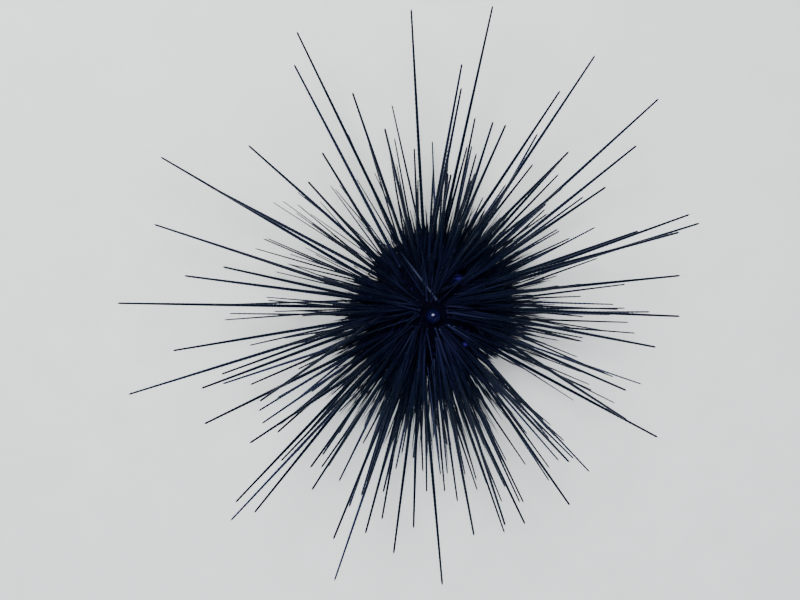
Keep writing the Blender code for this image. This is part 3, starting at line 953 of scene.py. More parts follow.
@dataclass
class JoinedShafts:
    """Many shafts as one mesh, each a copy of a template laid along its own axis."""

    name: str
    needle_from: float = 0.80
    needle_share: float = 0.45

    def __post_init__(self) -> None:
        """Start with no shaft."""
        self.points: list[np.ndarray] = []
        self.corners: list[np.ndarray] = []
        self.totals: list[np.ndarray] = []
        self.uvs: list[np.ndarray] = []
        self.tones: list[np.ndarray] = []
        self.shares: list[np.ndarray] = []
        self.count = 0

    def add(self, template: Template, shaft: Shaft, collar: float, draw: random.Random,
            bow: Vector = Vector((0.0, 0.0, 0.0))) -> None:
        """Lay one copy of a template along a shaft.

        Args:
            template: The turned form, whose foot below the collar keeps its size.
            shaft: Where it goes, and its radii.
            collar: The height of the collar, above which the form is stretched to the tip.
            draw: The source of its roll and tone.
            bow: How far its tip is carried aside from the straight line.
        """
        run = shaft.length
        nominal = template.along.max()
        stretched = collar + (template.along - collar) * (run - collar) / (nominal - collar)
        along = np.where(template.along > collar, stretched, template.along)
        share = np.clip(along / run, 0.0, 1.0)
        radius = shaft.root_radius + (shaft.tip_radius - shaft.root_radius) * share
        radius = radius * np.interp(share, (self.needle_from, 1.0), (1.0, self.needle_share))
        axis = shaft.axis
        side = axis.orthogonal().normalized()
        side.rotate(Matrix.Rotation(draw.uniform(0.0, FULL_TURN), 3, axis))
        over = axis.cross(side)
        points = np.array(shaft.root) + along[:, None] * np.array(axis)
        points = points + (template.across[:, :1] * radius[:, None]) * np.array(side)
        points = points + (template.across[:, 1:] * radius[:, None]) * np.array(over)
        points = points + (share ** 2)[:, None] * np.array(bow)
        foot = np.array([shaft.root])
        centre = SKIN_MAP.places(foot, foot[:, 2] >= 0.0)
        inside = np.stack((template.turns, share[template.corners]), axis=1) - 0.5
        self.uvs.append(centre + inside * SKIN_MAP.patch)
        self.points.append(points)
        self.corners.append(template.corners + self.count)
        self.totals.append(template.totals)
        drawn = draw.random()
        self.tones.append(np.full(len(points), drawn if shaft.tone is None else shaft.tone))
        self.shares.append(share)
        self.count += len(points)

    def mesh(self) -> bpy.types.Mesh:
        """The joined mesh, with its map and the attributes tone and share."""
        corners = np.concatenate(self.corners)
        totals = np.concatenate(self.totals)
        mesh = bpy.data.meshes.new(self.name)
        mesh.vertices.add(self.count)
        mesh.vertices.foreach_set("co", np.concatenate(self.points).astype(np.float32).ravel())
        mesh.loops.add(len(corners))
        mesh.loops.foreach_set("vertex_index", corners.astype(np.int32))
        mesh.polygons.add(len(totals))
        starts = np.concatenate(([0], np.cumsum(totals)[:-1]))
        mesh.polygons.foreach_set("loop_start", starts.astype(np.int32))
        mesh.update(calc_edges=True)
        add_map(mesh, np.concatenate(self.uvs))
        add_attribute(mesh, "tone", np.concatenate(self.tones))
        add_attribute(mesh, "share", np.concatenate(self.shares))
        mesh.shade_smooth()
        return mesh


Stops = tuple[tuple[float, str], ...]
Socket = bpy.types.NodeSocket
Tree = bpy.types.NodeTree


def linear(colour: str) -> tuple[float, float, float, float]:
    """An sRGB hex colour as linear red, green, blue and alpha."""
    shown = [int(colour[at:at + 2], 16) / 255.0 for at in (1, 3, 5)]
    return (*(c / 12.92 if c <= 0.04045 else ((c + 0.055) / 1.055) ** 2.4 for c in shown), 1.0)


def per_mm(millimetres: float) -> float:
    """The scale of a texture node whose features are this many millimetres across."""
    return 1.0 / (millimetres * MM)


def add_node(tree: Tree, kind: str, inputs: dict | None = None, stops: Stops = (),
             **settings: object) -> bpy.types.Node:
    """Add a node to a material.

    Args:
        tree: The material's node tree.
        kind: The node's type.
        inputs: For each input by name or number, a value or the output that feeds it.
        stops: A colour ramp's (place, sRGB hex colour), in rising order.
        settings: The node's own properties.

    Returns:
        The node.
    """
    node = tree.nodes.new(kind)
    for name, value in settings.items():
        setattr(node, name, value)
    for name, value in (inputs or {}).items():
        if isinstance(value, Socket):
            tree.links.new(value, node.inputs[name])
        else:
            node.inputs[name].default_value = value
    for number, (place, colour) in enumerate(stops):
        if number == len(node.color_ramp.elements):
            node.color_ramp.elements.new(place)
        node.color_ramp.elements[number].position = place
        node.color_ramp.elements[number].color = linear(colour)
    return node


@dataclass(frozen=True)
class Finish:
    """A material: its name, its gloss, and how colour and relief vary over it."""

    name: str
    colours: Stops
    roughness: float
    grain_mm: float
    bump_mm: float
    coat: float = 0.0
    coat_roughness: float = 0.15
    sheen: float = 0.0
    sheen_tint: str = "#ffffff"
    specular: float = 0.5
    specular_tint: str = "#ffffff"
    ior: float = 1.5
    subsurface: float = 0.0
    subsurface_mm: Triple = (1.0, 0.5, 0.5)
    grain_detail: float = 4.0
    grain_roughness: float = 0.6

    # A colour Mix node's factor and its two colours, and its result
    mix_inputs = (0, 6, 7)
    mix_result = 2

    def material(self) -> bpy.types.Material:
        """The material, with this finish's own constants on its shader."""
        made = bpy.data.materials.new(self.name)
        made.use_nodes = True
        tree = made.node_tree
        tree.nodes.clear()
        place = add_node(tree, "ShaderNodeTexCoord").outputs["Object"]
        grain = add_node(tree, "ShaderNodeTexNoise", {
            "Vector": place, "Scale": per_mm(self.grain_mm), "Detail": self.grain_detail,
            "Roughness": self.grain_roughness})
        relief = self.relief(tree, place, grain.outputs["Fac"])
        bump = add_node(tree, "ShaderNodeBump", {"Height": relief, "Distance": self.bump_mm * MM})
        shader = add_node(tree, "ShaderNodeBsdfPrincipled", {
            "Base Color": self.colour(tree, place, grain.outputs["Fac"]),
            "Normal": bump.outputs["Normal"],
            "Roughness": self.roughness,
            "IOR": self.ior,
            "Coat Weight": self.coat,
            "Coat Roughness": self.coat_roughness,
            "Sheen Weight": self.sheen,
            "Sheen Tint": linear(self.sheen_tint),
            "Specular IOR Level": self.specular,
            "Specular Tint": linear(self.specular_tint),
            "Subsurface Weight": self.subsurface,
            "Subsurface Radius": self.subsurface_mm,
            "Subsurface Scale": MM,
        })
        add_node(tree, "ShaderNodeOutputMaterial", {"Surface": shader.outputs["BSDF"]})
        return made

    def colour(self, tree: Tree, place: Socket, grain: Socket) -> Socket:
        """The colour over the surface: the finish's stops along its grain."""
        return add_node(tree, "ShaderNodeValToRGB", {"Fac": grain}, self.colours).outputs["Color"]

    def relief(self, tree: Tree, place: Socket, grain: Socket) -> Socket:
        """The height that the bump follows: the grain itself."""
        return grain

    def over(self, tree: Tree, under: Socket, factor: Socket, colour: str) -> Socket:
        """One colour laid over another.

        Args:
            tree: The material's node tree.
            under: The colour below.
            factor: How much the new one covers, from 0 to 1.
            colour: The new colour, in sRGB hex.

        Returns:
            The output of the mix.
        """
        inputs = dict(zip(self.mix_inputs, (factor, under, linear(colour))))
        return add_node(tree, "ShaderNodeMix", inputs, data_type="RGBA").outputs[self.mix_result]


@dataclass(frozen=True)
class ShaftFinish(Finish):
    """A finish on shafts: each has its own tone, and the foot and the tip have theirs.

    Where it has painted light, its colours show round the crown as painted light and fade to the tip's from
    the first to the second reach off the crown.
    """

    foot: str = "#000000"
    foot_share: float = 0.02
    tip: str = "#000000"
    tip_share: float = 0.85
    tone_weight: float = 0.7
    painted_light_mm: Pair = (0.0, 0.0)
    crown: Triple = (0.0, 0.0, 0.0)

    def colour(self, tree: Tree, place: Socket, grain: Socket) -> Socket:
        """The shaft's own tone, mottled by the grain, with its own foot and tip, and painted light that
        fades off the crown.
        """
        tone = add_node(tree, "ShaderNodeAttribute", attribute_name="tone").outputs["Fac"]
        share = add_node(tree, "ShaderNodeAttribute", attribute_name="share").outputs["Fac"]
        mottled = add_node(tree, "ShaderNodeMix", {0: self.tone_weight, 2: grain, 3: tone})
        body = super().colour(tree, place, mottled.outputs[0])
        at_foot = add_node(tree, "ShaderNodeMapRange", {
            "Value": share, "From Max": self.foot_share, "To Min": 1.0, "To Max": 0.0})
        at_tip = add_node(tree, "ShaderNodeMapRange", {"Value": share, "From Min": self.tip_share})
        footed = self.over(tree, body, at_foot.outputs["Result"], self.foot)
        tipped = self.over(tree, footed, at_tip.outputs["Result"], self.tip)
        # Painted light: the paler colours hold round the crown and fade to the tip's colour farther off
        near, far = (reach * MM for reach in self.painted_light_mm)
        if near == far:
            return tipped
        away = add_node(tree, "ShaderNodeVectorMath", {0: place, 1: self.crown}, operation="DISTANCE")
        faded = add_node(tree, "ShaderNodeMapRange", {
            "Value": away.outputs["Value"], "From Min": near, "From Max": far})
        return self.over(tree, tipped, faded.outputs["Result"], self.tip)


@dataclass(frozen=True)
class SkinFinish(Finish):
    """The skin over the test, with soft membrane round its two poles and blue iridophores."""

    membrane: str = "#000000"
    iridophore: str = "#0000ff"
    naked: str = "#000000"
    granule_mm: float = 0.45
    granule_share: float = 0.5

    def colour(self, tree: Tree, place: Socket, grain: Socket) -> Socket:
        """Dark skin along the grain, then its naked bands, its membranes and the blue spots."""
        shown = super().colour(tree, place, grain)
        for name in ("naked", "membrane", "iridophore"):
            mask = add_node(tree, "ShaderNodeAttribute", attribute_name=name).outputs["Fac"]
            shown = self.over(tree, shown, mask, getattr(self, name))
        return shown

    def relief(self, tree: Tree, place: Socket, grain: Socket) -> Socket:
        """The grain, with the granules of the skin standing in it."""
        cells = add_node(tree, "ShaderNodeTexVoronoi", {"Vector": place, "Scale": per_mm(self.granule_mm)})
        inputs = {0: self.granule_share, 2: grain, 3: cells.outputs["Distance"]}
        return add_node(tree, "ShaderNodeMix", inputs).outputs[0]


@dataclass(frozen=True)
class SpottedFinish(Finish):
    """A finish with one pale spot that fades out round a point."""

    spot: str = "#ffffff"
    spot_place: Triple = (0.0, 0.0, 0.0)
    spot_mm: Pair = (0.4, 1.1)

    def colour(self, tree: Tree, place: Socket, grain: Socket) -> Socket:
        """The stops along the grain, with the spot over them."""
        body = super().colour(tree, place, grain)
        away = add_node(tree, "ShaderNodeVectorMath", {0: place, 1: self.spot_place}, operation="DISTANCE")
        inner, outer = (reach * MM for reach in self.spot_mm)
        near = add_node(tree, "ShaderNodeMapRange", {
            "Value": away.outputs["Value"], "From Min": inner, "From Max": outer,
            "To Min": 1.0, "To Max": 0.0}, interpolation_type="SMOOTHSTEP")
        return self.over(tree, body, near.outputs["Result"], self.spot)


# Calcite under a thin black skin, ribbed too finely to see: satin, with a cold sheen along each shaft
# Its paler colours round the crown are painted light, fading to the dark tip colour farther out
PRIMARY_SPINE = ShaftFinish(
    name="black_pigmented_calcite_spine",
    colours=((0.10, "#070715"), (0.50, "#0c0d22"), (0.75, "#161933"), (0.95, "#2d3246")),
    roughness=0.26, grain_mm=2.0, bump_mm=0.03, sheen=0.02, sheen_tint="#7a8cc8", specular=0.26,
    specular_tint="#8c9cec", foot="#04050f", tip="#020812", tip_share=0.6, tone_weight=0.85,
    painted_light_mm=(26.0, 52.0))

# The same calcite in needles, a little duller
# Its paler colours round the crown are painted light too, fading to the dark tip colour farther out
FINE_SPINE = ShaftFinish(
    name="black_pigmented_calcite_needle",
    colours=((0.10, "#050511"), (0.50, "#08091a"), (0.75, "#0e1126"), (0.95, "#212540")),
    roughness=0.32, grain_mm=1.5, bump_mm=0.02, sheen=0.02, sheen_tint="#7a8cc8", specular=0.16,
    specular_tint="#8c9cec", foot="#02030b", tip="#020812", tip_share=0.6, tone_weight=0.85,
    painted_light_mm=(26.0, 52.0))

# Oral spines wear paler at their blunt ends, where they stand on the ground
ORAL_SPINE = ShaftFinish(
    name="worn_calcite_oral_spine", colours=((0.2, "#040409"), (0.5, "#07060d"), (0.8, "#0d0b16")),
    roughness=0.5, grain_mm=1.2, bump_mm=0.03, sheen=0.04, sheen_tint="#5c5684", specular=0.25,
    foot="#06050b", tip="#1c1820", tip_share=0.8)

# Living epidermis over calcite plates: purple-black and dull, with guanine-blue iridophores
TEST_SKIN = SkinFinish(
    name="purple_black_epidermis", colours=((0.25, "#010106"), (0.55, "#030209"), (0.8, "#06040e")),
    roughness=0.72, grain_mm=1.6, bump_mm=0.10, specular=0.04, specular_tint="#7d8edc",
    membrane="#04030c", naked="#020208", iridophore="#3a2a90")

# The knobs that the spines turn on: calcite under a film of dark skin
TUBERCLE = ShaftFinish(
    name="skinned_calcite_tubercle", colours=((0.2, "#020208"), (0.5, "#04040c"), (0.8, "#080812")),
    roughness=0.6, grain_mm=0.8, bump_mm=0.03, specular=0.08, specular_tint="#7d8edc", foot="#030309",
    tip="#080812")

# A thin wet bladder of muscle and skin: blue-violet light comes through it, with one pale spot
CONE_MEMBRANE = SpottedFinish(
    name="wet_blue_violet_membrane", colours=((0.25, "#020212"), (0.5, "#050521"), (0.75, "#0c0a3c")),
    roughness=0.34, grain_mm=1.1, bump_mm=0.06, coat=0.10, coat_roughness=0.12, specular=0.15,
    specular_tint="#8c96e6", subsurface=0.2, subsurface_mm=(0.5, 0.6, 1.6), spot="#8e94ac",
    spot_mm=(0.25, 1.0))

# Muscular tube feet: soft and dark, a little paler at their suckers
TUBE_FOOT = ShaftFinish(
    name="dark_tube_foot_muscle", colours=((0.2, "#030208"), (0.5, "#06040c"), (0.8, "#0a0712")),
    roughness=0.5, grain_mm=0.9, bump_mm=0.03, specular=0.12, foot="#04030a", tip="#120e18",
    tip_share=0.9)

# Gills are thin-walled sacs, so they look softer and redder than the feet
GILL = ShaftFinish(
    name="soft_gill_membrane", colours=((0.2, "#1a0e15"), (0.5, "#26141c"), (0.8, "#341d26")),
    roughness=0.42, grain_mm=0.7, bump_mm=0.03, specular=0.3, subsurface=0.3,
    subsurface_mm=(1.0, 0.4, 0.4), foot="#160c12", tip="#42272f")

# Pincers on stalks: dark skin on the stalk, a greyer calcite head
PINCER = ShaftFinish(
    name="pincer_skin_and_calcite", colours=((0.2, "#020208"), (0.5, "#04030b"), (0.8, "#070612")),
    roughness=0.6, grain_mm=0.6, bump_mm=0.02, specular=0.08, foot="#030309", tip="#0b0b16",
    tip_share=0.62)

# The lips round the teeth: thick, folded skin
LIP = Finish(
    name="folded_mouth_membrane", colours=((0.25, "#170d14"), (0.55, "#24141d"), (0.8, "#341f29")),
    roughness=0.45, grain_mm=0.7, bump_mm=0.08, coat=0.35, coat_roughness=0.25, subsurface=0.15)

# Tooth calcite, ground and polished by feeding: off-white with a faint growth grain
TOOTH = Finish(
    name="polished_tooth_calcite", colours=((0.25, "#b9ae96"), (0.5, "#d8cfb9"), (0.8, "#ebe4d2")),
    roughness=0.28, grain_mm=0.5, bump_mm=0.02, coat=0.3, coat_roughness=0.1, subsurface=0.1)

# Painted studio floor: pale and matt
FLOOR = Finish(
    name="matt_pale_floor_paint", colours=((0.3, "#cfd0cd"), (0.7, "#d5d6d3")), roughness=0.8,
    grain_mm=30.0, bump_mm=0.05, specular=0.2)


@dataclass
class Dresser:
    """Puts finished meshes in the scene, on the frame's body and in the frame's place."""

    middle: Vector
    materials: dict[Finish, bpy.types.Material] = field(default_factory=dict)

    def place(self, mesh: bpy.types.Mesh, finish: Finish) -> bpy.types.Object:
        """An object with the mesh moved over its place on the floor and its finish on it."""
        if finish not in self.materials:
            own = finish
            if isinstance(finish, ShaftFinish):
                own = replace(finish, crown=tuple(self.middle + upright(TEST.rise)))
            self.materials[finish] = own.material()
        mesh.transform(Matrix.Translation(self.middle))
        mesh.materials.append(self.materials[finish])
        return new_object(mesh.name, mesh)

    def dress(self, mesh: bpy.types.Mesh, finish: Finish, slot: Slot, *nodes: str) -> bpy.types.Object:
        """Place a piece of the animal.

        Args:
            mesh: Its mesh, about the test's middle, whose name it takes.
            finish: What it is made of.
            slot: The record's material slot that it belongs to; not used.
            nodes: The frame's nodes that it stands for.

        Returns:
            The piece.
        """
        piece = self.place(mesh, finish)
        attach(piece, BODY)
        if nodes:
            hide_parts(*nodes)
        mesh.calc_loop_triangles()
        LOG.info("%s: %d triangles", piece.name, len(mesh.loop_triangles))
        return piece


@dataclass
class PrimarySpines:
    """The long spines: a flared foot with a milled ring, then whorls of barbs up to a needle."""

    sides: int = 8
    pitch: float = 0.0012
    whorl_step: int = 8
    barb: float = 0.20
    barb_rise: float = 0.78
    foot: tuple[Pair, ...] = (
        (0.0, -0.0012), (0.95, -0.0010), (1.30, 0.0000), (1.62, 0.00035), (1.66, 0.00060),
        (1.30, 0.00080), (1.12, 0.00130), (1.0, 0.00200))
    needle_from: float = 0.62
    needle_share: float = 0.77
    seed: int = 31

    def __post_init__(self) -> None:
        """Start with no template made."""
        self.templates: dict[int, Template] = {}

    @property
    def collar(self) -> float:
        """The height where the foot ends and the barbed shaft begins."""
        return self.foot[-1][1]

    def template(self, whorls: int) -> Template:
        """The turned form of a spine with this many whorls, each with barbs on every other flat."""
        if whorls in self.templates:
            return self.templates[whorls]
        profile = list(self.foot)
        for whorl in range(whorls):
            start = self.collar + whorl * self.pitch
            profile.append((1.0 + self.barb, start + self.barb_rise * self.pitch))
            profile.append((1.0, start + self.pitch))
        profile.append((0.0, profile[-1][1] + self.pitch))
        bm = turned(profile, self.sides)
        for vertex in bm.verts:
            whorl = int((vertex.co.z - self.collar) / self.pitch)
            reach = math.hypot(vertex.co.x, vertex.co.y)
            flat = round(math.atan2(vertex.co.y, vertex.co.x) * self.sides / FULL_TURN)
            if vertex.co.z > self.collar and reach > 1.0 + self.barb / 2.0 and (whorl + flat) % 2:
                widen(vertex, 1.0 / reach)
        self.templates[whorls] = template_of(bm)
        return self.templates[whorls]

    def build(self, shafts: list[Shaft], dresser: Dresser) -> None:
        """Join the spines of each area into one piece that stands for the area's node."""
        draw = random.Random(self.seed)
        for area in AREAS:
            joined = JoinedShafts(f"primary_spines_{area.name}", self.needle_from, self.needle_share)
            for shaft in shafts:
                if shaft.area is area:
                    run = shaft.length - self.collar
                    whorls = max(1, round(run / self.pitch / self.whorl_step)) * self.whorl_step
                    joined.add(self.template(whorls), shaft, self.collar, draw)
            dresser.dress(joined.mesh(), PRIMARY_SPINE, Slot.TEST, area.name)


@dataclass
class StandingSpines:
    """The ten stout oral spines, each cut flat where it stands on the floor."""

    sides: int = 12
    profile: tuple[Pair, ...] = (
        (0.0, -0.0012), (0.95, -0.0010), (1.22, 0.0), (1.40, 0.00045), (1.36, 0.0008),
        (1.06, 0.0012), (1.0, 0.0020), (0.98, 0.0060), (0.96, 0.0100), (1.0, 0.0140),
        (1.10, 0.0180), (1.10, 0.0200), (0.0, 0.0201))
    collar: float = 0.0020
    seed: int = 32

    def build(self, shafts: list[Shaft], dresser: Dresser) -> None:
        """Join the standing spines and cut their soles."""
        draw = random.Random(self.seed)
        template = template_of(turned(list(self.profile), self.sides))
        joined = JoinedShafts("standing_spines", needle_share=1.0)
        for shaft in shafts:
            joined.add(template, shaft, self.collar, draw)
        mesh = joined.mesh()
        bm = bmesh.new()
        bm.from_mesh(mesh)
        geometry = bm.verts[:] + bm.edges[:] + bm.faces[:]
        bmesh.ops.bisect_plane(bm, geom=geometry, dist=SAME_POINT, plane_co=upright(-TEST.height),
                               plane_no=upright(-1.0), clear_outer=True)
        bmesh.ops.holes_fill(bm, edges=[edge for edge in bm.edges if edge.is_boundary], sides=0)
        bm.to_mesh(mesh)
        bm.free()
        dresser.dress(mesh, ORAL_SPINE, Slot.TEST)


@dataclass
class SmallShafts:
    """Small forms of one kind, joined into one piece."""

    name: str
    finish: Finish
    slot: Slot
    profile: tuple[Pair, ...]
    sides: int
    collar: float
    seed: int
    needle_share: float = 1.0
    bow: float = 0.0

    def build(self, shafts: list[Shaft], dresser: Dresser) -> None:
        """Join a copy of the form along each shaft."""
        draw = random.Random(self.seed)
        template = template_of(turned(list(self.profile), self.sides))
        joined = JoinedShafts(self.name, needle_share=self.needle_share)
        for shaft in shafts:
            reach = self.bow * shaft.length
            bow = Vector([draw.uniform(-reach, reach) for axis in range(3)])
            joined.add(template, shaft, self.collar, draw, bow)
        dresser.dress(joined.mesh(), self.finish, self.slot)


NEEDLE = ((0.0, -0.0006), (1.0, -0.0005), (1.45, 0.0), (1.50, 0.0003), (1.08, 0.0006), (1.0, 0.0010),
          (0.98, 0.0055), (0.9, 0.0085), (0.0, 0.0100))
CLUB = ((0.0, -0.0006), (1.0, -0.0005), (1.35, 0.0), (1.40, 0.0003), (1.05, 0.0006), (0.95, 0.0010),
        (0.92, 0.0050), (1.15, 0.0080), (1.10, 0.0094), (0.0, 0.0100))
HAIR = ((0.0, -0.0003), (1.3, 0.0), (1.0, 0.0005), (0.85, 0.0030), (0.0, 0.0050))
KNOB = ((0.0, -0.0006), (2.10, -0.0004), (1.75, 0.0002), (1.35, 0.00045), (1.25, 0.0005), (0.0, 0.00052))
SUCKER = ((0.0, -0.0004), (1.25, 0.0), (1.0, 0.0006), (0.85, 0.0040), (0.80, 0.0070), (0.95, 0.0084),
          (1.60, 0.0091), (1.70, 0.0097), (0.70, 0.0099), (0.0, 0.0096))
FINGER = ((0.0, -0.0004), (1.2, 0.0), (1.0, 0.0006), (0.8, 0.0030), (0.6, 0.0048), (0.0, 0.0052))
BUD = ((0.0, -0.0002), (0.45, 0.0), (0.38, 0.0008), (0.40, 0.0016), (0.75, 0.0019), (1.0, 0.0023),
       (0.8, 0.0028), (0.45, 0.0031), (0.0, 0.0032))


@dataclass
class SoftParts:
    """Tube feet, gills and pincers, set between the spines."""

    coat: Coat
    seed: int = 41
    foot_rows: int = 15
    foot_latitudes: Pair = (60.0, -54.0)
    foot_column: float = 0.80
    foot_lengths: Pair = (0.006, 0.015)
    foot_radii: Pair = (0.00030, 0.00022)
    foot_lean: float = 0.55
    tries: int = 6
    pincers: int = 180
    pincer_latitudes: Pair = (-62.0, 74.0)
    pincer_lengths: Pair = (0.0020, 0.0034)
    pincer_radius: float = 0.00024
    pincer_lean: float = 0.5
    gill_bearing: float = math.radians(15.0)
    gill_ring: float = 0.0098
    gill_sink: float = 0.0012
    gill_lean: float = 0.15
    gill_length: float = 0.0040
    gill_radius: float = 0.00040
    gill_fan: Numbers = (-0.40, 0.0, 0.40)
    gill_twigs: int = 9
    twig_from: float = 0.35
    twig_spread: float = 0.6
    twig_turn: float = math.radians(137.5)
    twig_length: float = 0.0013
    twig_longest: float = 1.25
    twig_radius: float = 0.00018

    def tube_feet(self) -> list[Shaft]:
        """Two columns of tube feet down each ambulacrum."""
        draw = random.Random(self.seed)
        feet = []
        for area in areas_of(AreaKind.AMBULACRUM):
            for latitude in np.linspace(*self.foot_latitudes, self.foot_rows):
                for bearing in area.both(self.foot_column):
                    feet += self.set_one(area, bearing, math.radians(latitude), self.foot_lengths,
                                         self.foot_radii, self.foot_lean, draw)
        return feet

    def set_one(self, area: Area, bearing: float, latitude: float, lengths: Pair,
                radii: Pair, lean: float, draw: random.Random) -> list[Shaft]:
        """Set one soft form near the skin's normal where it clears the coat.

        Args:
            area: The area that it grows on.
            bearing: The bearing of its root.
            latitude: The latitude of its root.
            lengths: The shortest and the longest it may be.
            radii: Its radii at the root and the tip.
            lean: How far it may lean from the normal, in each direction.
            draw: The source of chance.

        Returns:
            The form alone in a list, or an empty list where there is no room.
        """
        root = TEST.point(bearing, latitude)
        for attempt in range(self.tries):
            axis = leaning(TEST.normal(root), lean, draw)
            shaft = Shaft(area, root, root + axis * draw.uniform(*lengths), *radii)
            if self.coat.add(shaft, False):
                return [shaft]
        return []

    def stalked_pincers(self) -> list[Shaft]:
        """Pincers scattered over the test, wherever there is room."""
        draw = random.Random(self.seed + 1)
        found = []
        for number in range(self.pincers):
            area, bearing, latitude = any_place(self.pincer_latitudes, draw)
            found += self.set_one(area, bearing, latitude, self.pincer_lengths,
                                  (self.pincer_radius, self.pincer_radius), self.pincer_lean, draw)
        return found

    def gills(self) -> list[Shaft]:
        """Ten tufts of gills at the peristome's edge, each a fan of stems with twigs on both sides."""
        found = []
        for area in areas_of(AreaKind.INTERAMBULACRUM):
            for side in (-1.0, 1.0):
                bearing = area.bearing + side * self.gill_bearing
                out = heading(bearing)
                across = Vector((-math.sin(bearing), math.cos(bearing), 0.0))
                rise = TEST.drop * math.sqrt(1.0 - (self.gill_ring / TEST.radius) ** 2)
                root = out * self.gill_ring + upright(self.gill_sink - rise)
                for fan in self.gill_fan:
                    axis = (across * fan - out * self.gill_lean + upright(-1.0)).normalized()
                    tip = root + axis * self.gill_length
                    found.append(Shaft(area, root, tip, self.gill_radius, self.gill_radius / 2.0))
                    found += self.twigs(area, root, tip, across)
        return found

    def twigs(self, area: Area, root: Vector, tip: Vector, across: Vector) -> list[Shaft]:
        """The twigs of one gill stem, shorter towards its tip.

        Args:
            area: The area that the gill is in.
            root: The stem's root.
            tip: The stem's tip.
            across: The direction in which the first twig leans.

        Returns:
            The twigs.
        """
        found = []
        along = (tip - root).normalized()
        for twig in range(self.gill_twigs):
            share = self.twig_from + self.twig_spread * twig / self.gill_twigs
            foot = root.lerp(tip, share)
            turn = Matrix.Rotation(twig * self.twig_turn, 3, along)
            aside = (turn @ across + along).normalized()
            reach = self.twig_length * (self.twig_longest - share)
            found.append(Shaft(area, foot, foot + aside * reach, self.twig_radius, self.twig_radius))
        return found


@dataclass(frozen=True)
class Mark:
    """A round rise or dip on the skin: a mound, or flat on top where its edge is narrow."""

    place: Vector
    radius: float
    height: float
    edge: float = 1.0


